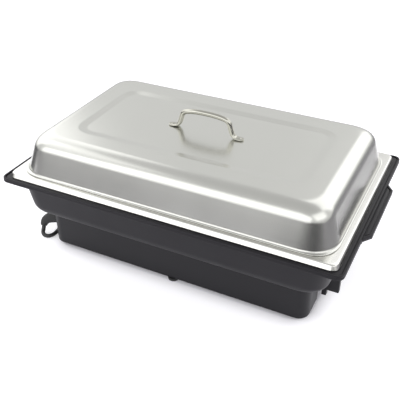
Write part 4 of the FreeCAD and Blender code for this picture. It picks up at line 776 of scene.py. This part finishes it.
def make_bath():
    """Water bath moulding: tub, rim, channel, rib, ledge and well as one closed skin."""
    wall = tub_wall
    ledge = tub_bottom + wall
    line_low = rim_top - rim_line_drop
    line_high = line_low + rim_line_width
    groove_floor = channel_floor - channel_groove_depth
    groove = rim_lip + channel_groove
    well = (well_half_x, well_half_y, well_corner, well_x)
    window = (window_half_x, window_half_y, window_corner, well_x)
    foot = (tub_top_x - tub_lean, tub_top_y - tub_lean, tub_corner, 0.0)
    top = (tub_top_x, tub_top_y, tub_corner, 0.0)
    rim = (rim_half_x, rim_half_y, rim_corner, 0.0)
    rib = (rib_x, rib_y, rib_corner, 0.0)
    rib_inside = (rib_x - rib_width, rib_y - rib_width, rib_corner - rib_width / 2, 0.0)
    rings = [
        ring(well, well_floor - wall, well_round + wall, -wall),
        ring(well, tub_bottom, inside_round, -wall),
        ring(foot, tub_bottom, tub_round),
        ring(top, rim_bottom, under_round),
        ring(rim, rim_bottom, edge_round),
        ring(rim, line_low, line_low_round),
        ring(rim, line_low + rim_line_depth, line_round, rim_line_depth),
        ring(rim, line_high, line_round, rim_line_depth),
        ring(rim, line_high, groove_round, rim_step),
        ring(rim, rim_top, lip_round, rim_step),
        ring(rim, rim_top, lip_inside_round, rim_lip),
        ring(rim, groove_floor, groove_round, rim_lip),
        ring(rim, groove_floor, groove_round, groove),
        ring(rim, channel_floor, channel_round, groove),
        ring(rib, channel_floor, channel_round),
        ring(rib, rib_top, edge_round),
        ring(rib_inside, rib_top, edge_round),
        ring(rib_inside, channel_floor, channel_round),
        ring(top, channel_floor, inside_round, wall),
        ring(foot, ledge, tub_round - wall, wall),
        ring(well, ledge, ledge_round),
        ring(well, well_floor, well_round),
        ring(window, well_floor, window_round),
        ring(window, well_floor - wall, window_round),
    ]
    piece = link("bath_skin", loft("bath_skin", rings, True), "base", "bath_plastic")
    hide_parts("water_bath")


def grip_outline(inset, from_rim):
    """Corners of the grip's outline, drawn in by an inset, and from the rim by another."""
    start = rim_half_x + touch
    slope = (handle_root - handle_tip) / (grip_high.x - start)
    near = start + from_rim
    far = grip_high.x - inset
    root = handle_root - inset * math.hypot(1.0, slope)
    near_y = root - slope * from_rim
    far_y = root - slope * (far - start)
    return [(near, -near_y), (far, -far_y), (far, far_y), (near, near_y)]


def make_side_handle(side):
    """Moulded grip at one end of the rim: a sunk panel and a groove inside a raised border."""
    name = "grip_right" if side > 0 else "grip_left"
    top = grip_high.z
    inner = handle_border + handle_groove
    rows = [
        # inset, inset from the rim, height
        (0.0, 0.0, grip_low.z),
        (0.0, 0.0, top),
        (handle_border, handle_rim_gap, top),
        (handle_border, handle_rim_gap, top - handle_recess),
        (inner, handle_groove, top - handle_recess),
        (inner, handle_groove, top - handle_sink),
    ]
    shape = bmesh.new()
    loops = []
    for inset, from_rim, height in rows:
        loops.append([shape.verts.new((side * x, y, height)) for x, y in grip_outline(inset, from_rim)])
    shape.faces.new(loops[0])
    shape.faces.new(loops[-1])
    for low, high in zip(loops, loops[1:]):
        for index in range(4):
            after = (index + 1) % 4
            shape.faces.new((low[index], low[after], high[after], high[index]))
    bmesh.ops.recalc_face_normals(shape, faces=shape.faces)
    sharp = [edge for edge in shape.edges if edge.calc_face_angle(0.0) > handle_sharp]
    bmesh.ops.bevel(shape, geom=sharp, offset=handle_round, segments=4, profile=0.5, affect="EDGES",
                    clamp_overlap=True)
    mesh = mesh_of(name, shape)
    smooth(mesh, SHARP)
    piece = link(name, mesh, "base", "bath_plastic")
    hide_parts("right_handle" if side > 0 else "left_handle")


def make_lid_handle():
    """Bowed polished rod whose feet flatten into pads."""
    ground = lid_crown - panel_depth
    right = [(x * MM, 0.0, ground + z * MM) for x, z in handle_line]
    left = [(-x, y, z) for x, y, z in reversed(right[1:])]
    line = smooth_line(left + right)
    across = Vector((0, 1, 0))
    stations = []
    for index, point in enumerate(line):
        ahead = line[min(index + 1, len(line) - 1)] - line[max(index - 1, 0)]
        up = across.cross(ahead.normalized()) * -1
        reach = abs(point.x)
        flat = ease((reach - pad_start) / pad_blend)
        wide = rod_half + (pad_wide - rod_half) * flat
        tall = rod_half + (pad_tall - rod_half) * flat
        tip = min(max((handle_reach - reach) / pad_wide, 0.0), 1.0)
        wide *= math.sqrt(max(1 - (1 - tip) ** 2, pad_tip))
        stations.append((point, across, up, wide, tall, ROUND + (PAD_SQUARE - ROUND) * flat))
    piece = link("handle_rod", sweep("handle_rod", stations, HANDLE_SIDES), "lid", "handle_steel")
    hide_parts("lid_handle")


def make_rivets():
    """Domed rivet heads on the pads and flat heads inside the lid."""
    low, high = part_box("lid_handle_rivets")
    neck = high.z - rivet_dome
    profile = profile_of(rivet_foot_outline, low.z, rivet_head)
    profile += [(low.z + rivet_dome, rivet_shank), (neck, rivet_shank), (neck, rivet_head)]
    for step in range(1, DOME_STEPS + 1):
        angle = math.pi / 2 * step / DOME_STEPS
        profile.append((neck + rivet_dome * math.sin(angle), max(rivet_head * math.cos(angle), rivet_tip)))
    for side in (-1, 1):
        name = "rivet_right" if side > 0 else "rivet_left"
        mesh = lathe(name, profile, (side * (high.x - rivet_head), 0, 0))
        piece = link(name, mesh, "lid", "handle_steel")
        if side > 0:
            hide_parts("lid_handle_rivets")


def make_edge_feet():
    """Round foot that stands out from under the middle of each long side."""
    low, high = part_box("edge_feet")
    profile = profile_of(edge_foot_outline, radius=edge_foot_radius)
    for side in (-1, 1):
        name = "edge_foot_back" if side > 0 else "edge_foot_front"
        base = ((low.x + high.x) / 2, side * (housing_high.y - edge_foot_inset), 0.0)
        piece = link(name, lathe(name, profile, base), "base", "rubber")
        if side > 0:
            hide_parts("edge_feet")


def coil_route():
    """Control points of the coil: in along the lower layer, up, and out along the upper one."""
    turns = 2 * coil_layer_turns
    low = free_route[-1][2]
    # The curve runs inside its control points, so they lie further out
    swell = 1 / (0.75 + 0.25 * math.cos(2 * math.pi / coil_steps))
    places = []
    for step in range(int(round(turns * coil_steps)) + 1):
        turn = step / coil_steps
        layer_turn = min(turn, turns - turn)
        radius = (coil_outer - coil_pitch * layer_turn) * swell
        rise = coil_rise * ease((turn - coil_layer_turns) / coil_climb + 0.5)
        angle = math.pi - turn * 2 * math.pi
        places.append((coil_centre_x + radius * math.cos(angle), coil_centre_y + radius * math.sin(angle),
                       low + rise))
    return places


def make_cord():
    """The whole cord as one smooth curve, its strain relief and its plug."""
    points = list(free_route) + coil_route() + list(lead_route)
    data = bpy.data.curves.new("mains_lead", "CURVE")
    data.dimensions = "3D"
    data.bevel_depth = cord_radius * MM
    data.bevel_resolution = 6
    data.resolution_u = 5
    data.use_fill_caps = True
    spline = data.splines.new("NURBS")
    spline.points.add(len(points) - 1)
    for knot, point in zip(spline.points, points):
        knot.co = (*(value * MM for value in point), 1.0)
    spline.order_u = 3
    spline.use_endpoint_u = True
    cord = link("mains_lead", data, "base", "cord_rubber")
    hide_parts("mains_cord", "mains_cord_coil", "mains_cord_end")
    boot = make_boot()
    plug_pieces = make_plug()


def make_boot():
    """Tapered rubber elbow from the housing wall to the cord, with its inner flange."""
    places = smooth_line([[value * MM for value in point] for point in boot_places])
    inlet = places[0]
    aim = Vector((-1, 0, 0))
    side = Vector((0, 1, 0))
    stations = []
    for reach, radius in boot_flange:
        centre = Vector((housing_low.x + reach * MM, inlet.y, inlet.z))
        stations.append((centre, side, UP, radius * MM, radius * MM, ROUND))
    last = len(boot_radii) - 1
    for index, centre in enumerate(places):
        share = index / (len(places) - 1) * last
        row = min(int(share), last - 1)
        part = share - row
        radius = boot_radii[row] * (1 - part) + boot_radii[row + 1] * part
        heading = Vector(boot_aims[row]).lerp(Vector(boot_aims[row + 1]), part).normalized()
        tilt = aim.rotation_difference(heading)
        stations.append((centre, tilt @ side, tilt @ UP, radius * MM, radius * MM, ROUND))
    piece = link("cord_boot", sweep("cord_boot", stations, BOOT_SIDES), "base", "rubber")
    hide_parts("strain_relief")
    return piece


def plug_section(centre, across, radius, grooved):
    """Points round the plug, with a flat-bottomed groove above and below where it is grooved."""
    half = plug_groove / 2
    inset = half - touch
    floor = plug_groove_floor if grooved else math.sqrt(radius ** 2 - half ** 2)
    start = math.pi / 2 - math.asin(half / radius)
    points = []
    for side in (1, -1):
        for step in range(PLUG_STEPS + 1):
            angle = -start + 2 * start * step / PLUG_STEPS
            points.append(centre + (across * math.cos(angle) + UP * math.sin(angle)) * (radius * side))
        points.append(centre + (across * inset + UP * floor) * side)
        points.append(centre + (across * -inset + UP * floor) * side)
    return points


def make_plug():
    """Straight round plug with a ribbed grip, a groove for each earth clip and two pins."""
    back = Vector(lead_route[-1]) * MM
    aim = back - Vector(lead_route[-2]) * MM
    aim.z = 0
    aim.normalize()
    across = aim.cross(UP)
    front = plug_grip + plug_body
    groove_start = front - plug_groove_length
    plain = profile_of(plug_tail_outline)
    for rib in range(plug_ribs):
        start = plug_rib_start + rib * plug_rib_pitch
        plain += profile_of(plug_rib_outline, start, plug_rib_radius + rib * plug_rib_swell)
    plain += profile_of(plug_shoulder_outline, plug_grip)
    plain += [(plug_grip + plug_shoulder, plug_radius), (groove_start, plug_radius)]
    grooved = [(groove_start + plug_groove_end, plug_radius), (front - plug_nose, plug_radius)]
    grooved += profile_of(plug_nose_outline, front)
    loops = [plug_section(back + aim * reach, across, radius, False) for reach, radius in plain]
    loops += [plug_section(back + aim * reach, across, radius, True) for reach, radius in grooved]
    shell = link("plug_shell", skin("plug_shell", loops, angle=PLUG_SHARP), "base", "cord_rubber")
    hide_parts("plug_body")
    pieces = [shell, frame["nodes"]["plug_clips"]]
    pin_profile = profile_of(plug_pin_outline)
    for side in (-1, 1):
        name = "plug_pin_front" if side > 0 else "plug_pin_back"
        base = back + aim * front + across * (side * plug_pin_pitch / 2)
        piece = link(name, lathe(name, pin_profile, base, aim, PIN_SIDES), "base", "plug_nickel")
        if side > 0:
            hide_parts("plug_pins")
        pieces.append(piece)
    return pieces


def make_knob():
    """Round knob with a grip bar and a white mark."""
    low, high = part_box("control_knob")
    axis_z = (low.z + high.z) / 2
    radius = (high.z - low.z) / 2

    def bar_corner(x, y, z):
        front = x > 0
        wide = bar_width * (bar_taper if front else 1.0)
        tall = 2 * (radius - bar_margin) * (bar_end_taper if front else 1.0)
        return (high.x if front else low.x + bar_start, y * wide, axis_z + z * tall)

    def mark_corner(x, y, z):
        return (high.x - mark_sink + x * mark_thickness, y * mark_width,
                axis_z + radius * (mark_place + z * mark_length))

    profile = [(0.0, radius * knob_back)] + profile_of(knob_outline, radius=radius)
    profile.append((knob_face, knob_middle))
    mesh = lathe("knob_disc", profile, (low.x, 0, axis_z), Vector((1, 0, 0)), KNOB_SIDES)
    disc = link("knob_disc", mesh, "knob", "trim_plastic")
    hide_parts("control_knob")
    bar = block("knob_bar", bar_corner, bar_round, segments=4, profile=0.6)
    smooth(bar, SHARP)
    link("knob_bar", bar, "knob", "trim_plastic")
    mark = block("knob_mark", mark_corner, mark_round, segments=2, profile=0.0)
    mark.materials.append(white_ink("white_ink"))
    link("knob_mark", mark, "knob")


def white_rays(tree):
    """Share of the glow for the rays that see the floor itself: camera, glossy and transmission rays."""
    path = tree.nodes.new("ShaderNodeLightPath")
    camera = maths(tree, "MULTIPLY", path.outputs["Is Camera Ray"], camera_share)
    either = maths(tree, "MAXIMUM", camera, path.outputs["Is Glossy Ray"])
    return maths(tree, "MAXIMUM", either, path.outputs["Is Transmission Ray"])


def painted_shadow_share(tree, coords):
    """Share of the floor's glow, a painted shadow: less beside the housing's footprint, whole a little way
    off.
    """
    hub = (housing_high.x - painted_shadow_corner, housing_high.y - painted_shadow_corner, 0.0)
    past = vector_maths(tree, "SUBTRACT", vector_maths(tree, "ABSOLUTE", coords), hub)
    outside = vector_maths(tree, "MAXIMUM", past, (0.0, 0.0, 0.0))
    gap = vector_maths(tree, "LENGTH", outside, output="Value")
    part = spread(tree, gap, 0.0, 1.0, painted_shadow_corner, painted_shadow_corner + painted_shadow_reach)
    return spread(tree, maths(tree, "SQRT", part), painted_shadow_glow, 1.0, 0.0, 1.0)


def make_floor():
    """Pale floor that keeps the object's shadow, with a white glow painted as a pool of light round and
    behind the object, and a painted shadow where that glow is cut down beside the housing.
    """
    reach = floor_reach
    mesh = bpy.data.meshes.new("floor")
    mesh.from_pydata([(-reach, -reach, 0), (reach, -reach, 0), (reach, reach, 0), (-reach, reach, 0)], [],
                     [(0, 1, 2, 3)])
    material, tree, shader, coords = new_material("floor_paper")
    output = [node for node in tree.nodes if node.type == "OUTPUT_MATERIAL"][0]
    matt(shader)
    tint(tree, shader, noise(tree, coords, scale=2.0), floor_low, floor_high)
    away = vector_maths(tree, "DISTANCE", coords, pool_centre, output="Value")
    pool = spread(tree, away, pool_glow, pool_edge_glow, pool_inner, pool_outer, "SMOOTHSTEP")
    # Glow of a painted pool of light, cut down by a painted shadow beside the housing
    glow = maths(tree, "MULTIPLY", painted_shadow_share(tree, coords), pool)
    lit = add(tree, "ShaderNodeEmission", Color=(1.0, 1.0, 1.0, 1.0))
    tree.links.new(maths(tree, "MULTIPLY", white_rays(tree), glow), lit.inputs["Strength"])
    both = tree.nodes.new("ShaderNodeAddShader")
    feed(tree, both, (shader.outputs["BSDF"], lit.outputs["Emission"]))
    tree.links.new(both.outputs["Shader"], output.inputs["Surface"])
    mesh.materials.append(material)
    place("floor", mesh)


def make_flag(name, start, end, near, far, top, level):
    """Dark flag that only reflections see, a painted dark reflection: a sheet on the floor that turns up at
    its far side.
    """
    material, tree, shader, coords = new_material(name + "_cloth")
    low = tuple(level * part for part in flag_low)
    high = tuple(level * part for part in flag_high)
    tint(tree, shader, noise(tree, coords, scale=400.0), low, high)
    matt(shader)
    steps = int((end - start) / FLAG_STEP) + 1
    verts = []
    for step in range(steps + 1):
        turn = math.radians(start + (end - start) * step / steps)
        swell = abs(math.sin(math.pi * step / steps)) ** FLAG_TAPER
        close = far - (far - near) * swell
        for reach, height in ((close, 0.0), (far, 0.0), (far, top * swell)):
            verts.append((math.sin(turn) * reach, math.cos(turn) * reach, flag_lift + height))
    faces = []
    for step in range(steps):
        for side in range(2):
            corner = step * 3 + side
            faces.append((corner, corner + 1, corner + 4, corner + 3))
    mesh = bpy.data.meshes.new(name)
    mesh.from_pydata(verts, [], faces)
    mesh.materials.append(material)
    flag = place(name, mesh)
    flag.visible_camera = False
    flag.visible_diffuse = False
    flag.visible_transmission = False
    flag.visible_shadow = False


def make_world():
    """Soft studio: bright above the horizon, quieter overhead."""
    world = bpy.data.worlds.new("studio")
    bpy.context.scene.world = world
    world.use_nodes = True
    tree = world.node_tree
    tree.nodes.clear()
    output = tree.nodes.new("ShaderNodeOutputWorld")
    coords = tree.nodes.new("ShaderNodeTexCoord")
    parts = feed(tree, tree.nodes.new("ShaderNodeSeparateXYZ"), (coords.outputs["Generated"],))
    height = spread(tree, parts.outputs["Z"], 0.0, 1.0, -1.0, 1.0)
    ramp = tree.nodes.new("ShaderNodeValToRGB")
    elements = ramp.color_ramp.elements
    while len(elements) < len(sky_levels):
        elements.new(0.5)
    for element, (position, level) in zip(elements, sky_levels):
        element.position = (position + 1) / 2
        element.color = (level, level, level, 1.0)
    tree.links.new(height, ramp.inputs["Fac"])
    studio = tree.nodes.new("ShaderNodeBackground")
    tree.links.new(ramp.outputs["Color"], studio.inputs["Color"])
    tree.links.new(studio.outputs["Background"], output.inputs["Surface"])


def make_lamp(name, bearing, low, high, width, distance, level):
    """Rectangular soft lamp, given by the part of the view that it fills seen from the object."""
    data = bpy.data.lights.new(name, "AREA")
    data.shape = "RECTANGLE"
    data.size = 2 * distance * math.tan(math.radians(width / 2))
    data.size_y = 2 * distance * math.tan(math.radians((high - low) / 2))
    data.energy = level * math.pi * data.size * data.size_y
    turn = math.radians(bearing)
    middle = math.radians((low + high) / 2)
    aim = Vector((math.sin(turn) * math.cos(middle), math.cos(turn) * math.cos(middle), math.sin(middle)))
    lamp = place(name, data)
    lamp.location = UP * pan_top + aim * distance
    lamp.rotation_euler = (-aim).to_track_quat("-Z", "Y").to_euler()


def make_camera():
    """Camera at the photograph's place and angle."""
    data = bpy.data.cameras.new("camera")
    data.lens = camera_lens
    data.sensor_width = camera_sensor
    data.clip_end = camera_sight
    camera = place("camera", data)
    yaw = math.radians(camera_yaw)
    pitch = math.radians(camera_pitch)
    roll = math.radians(camera_roll)
    forward = Vector((-math.sin(yaw) * math.cos(pitch), math.cos(yaw) * math.cos(pitch), -math.sin(pitch)))
    right = Vector((math.cos(yaw), math.sin(yaw), 0))
    up = right.cross(forward)
    right_rolled = right * math.cos(roll) + up * math.sin(roll)
    up_rolled = up * math.cos(roll) - right * math.sin(roll)
    turn = Matrix((right_rolled, up_rolled, -forward)).transposed().to_4x4()
    camera.matrix_world = Matrix.Translation(Vector(camera_place)) @ turn
    bpy.context.scene.camera = camera


bpy.context.scene.view_settings.view_transform = "Standard"
materials = make_materials()
dress_cad_nodes()
make_camera()
make_cord()
make_pan()
make_lid()
make_lid_handle()
make_rivets()
make_edge_feet()
make_bath()
make_side_handle(1)
make_side_handle(-1)
make_knob()
make_floor()
for flag_name, flag_setting in flags.items():
    make_flag(flag_name, *flag_setting)
make_world()
for lamp_name, lamp_setting in lamps.items():
    make_lamp(lamp_name, *lamp_setting)
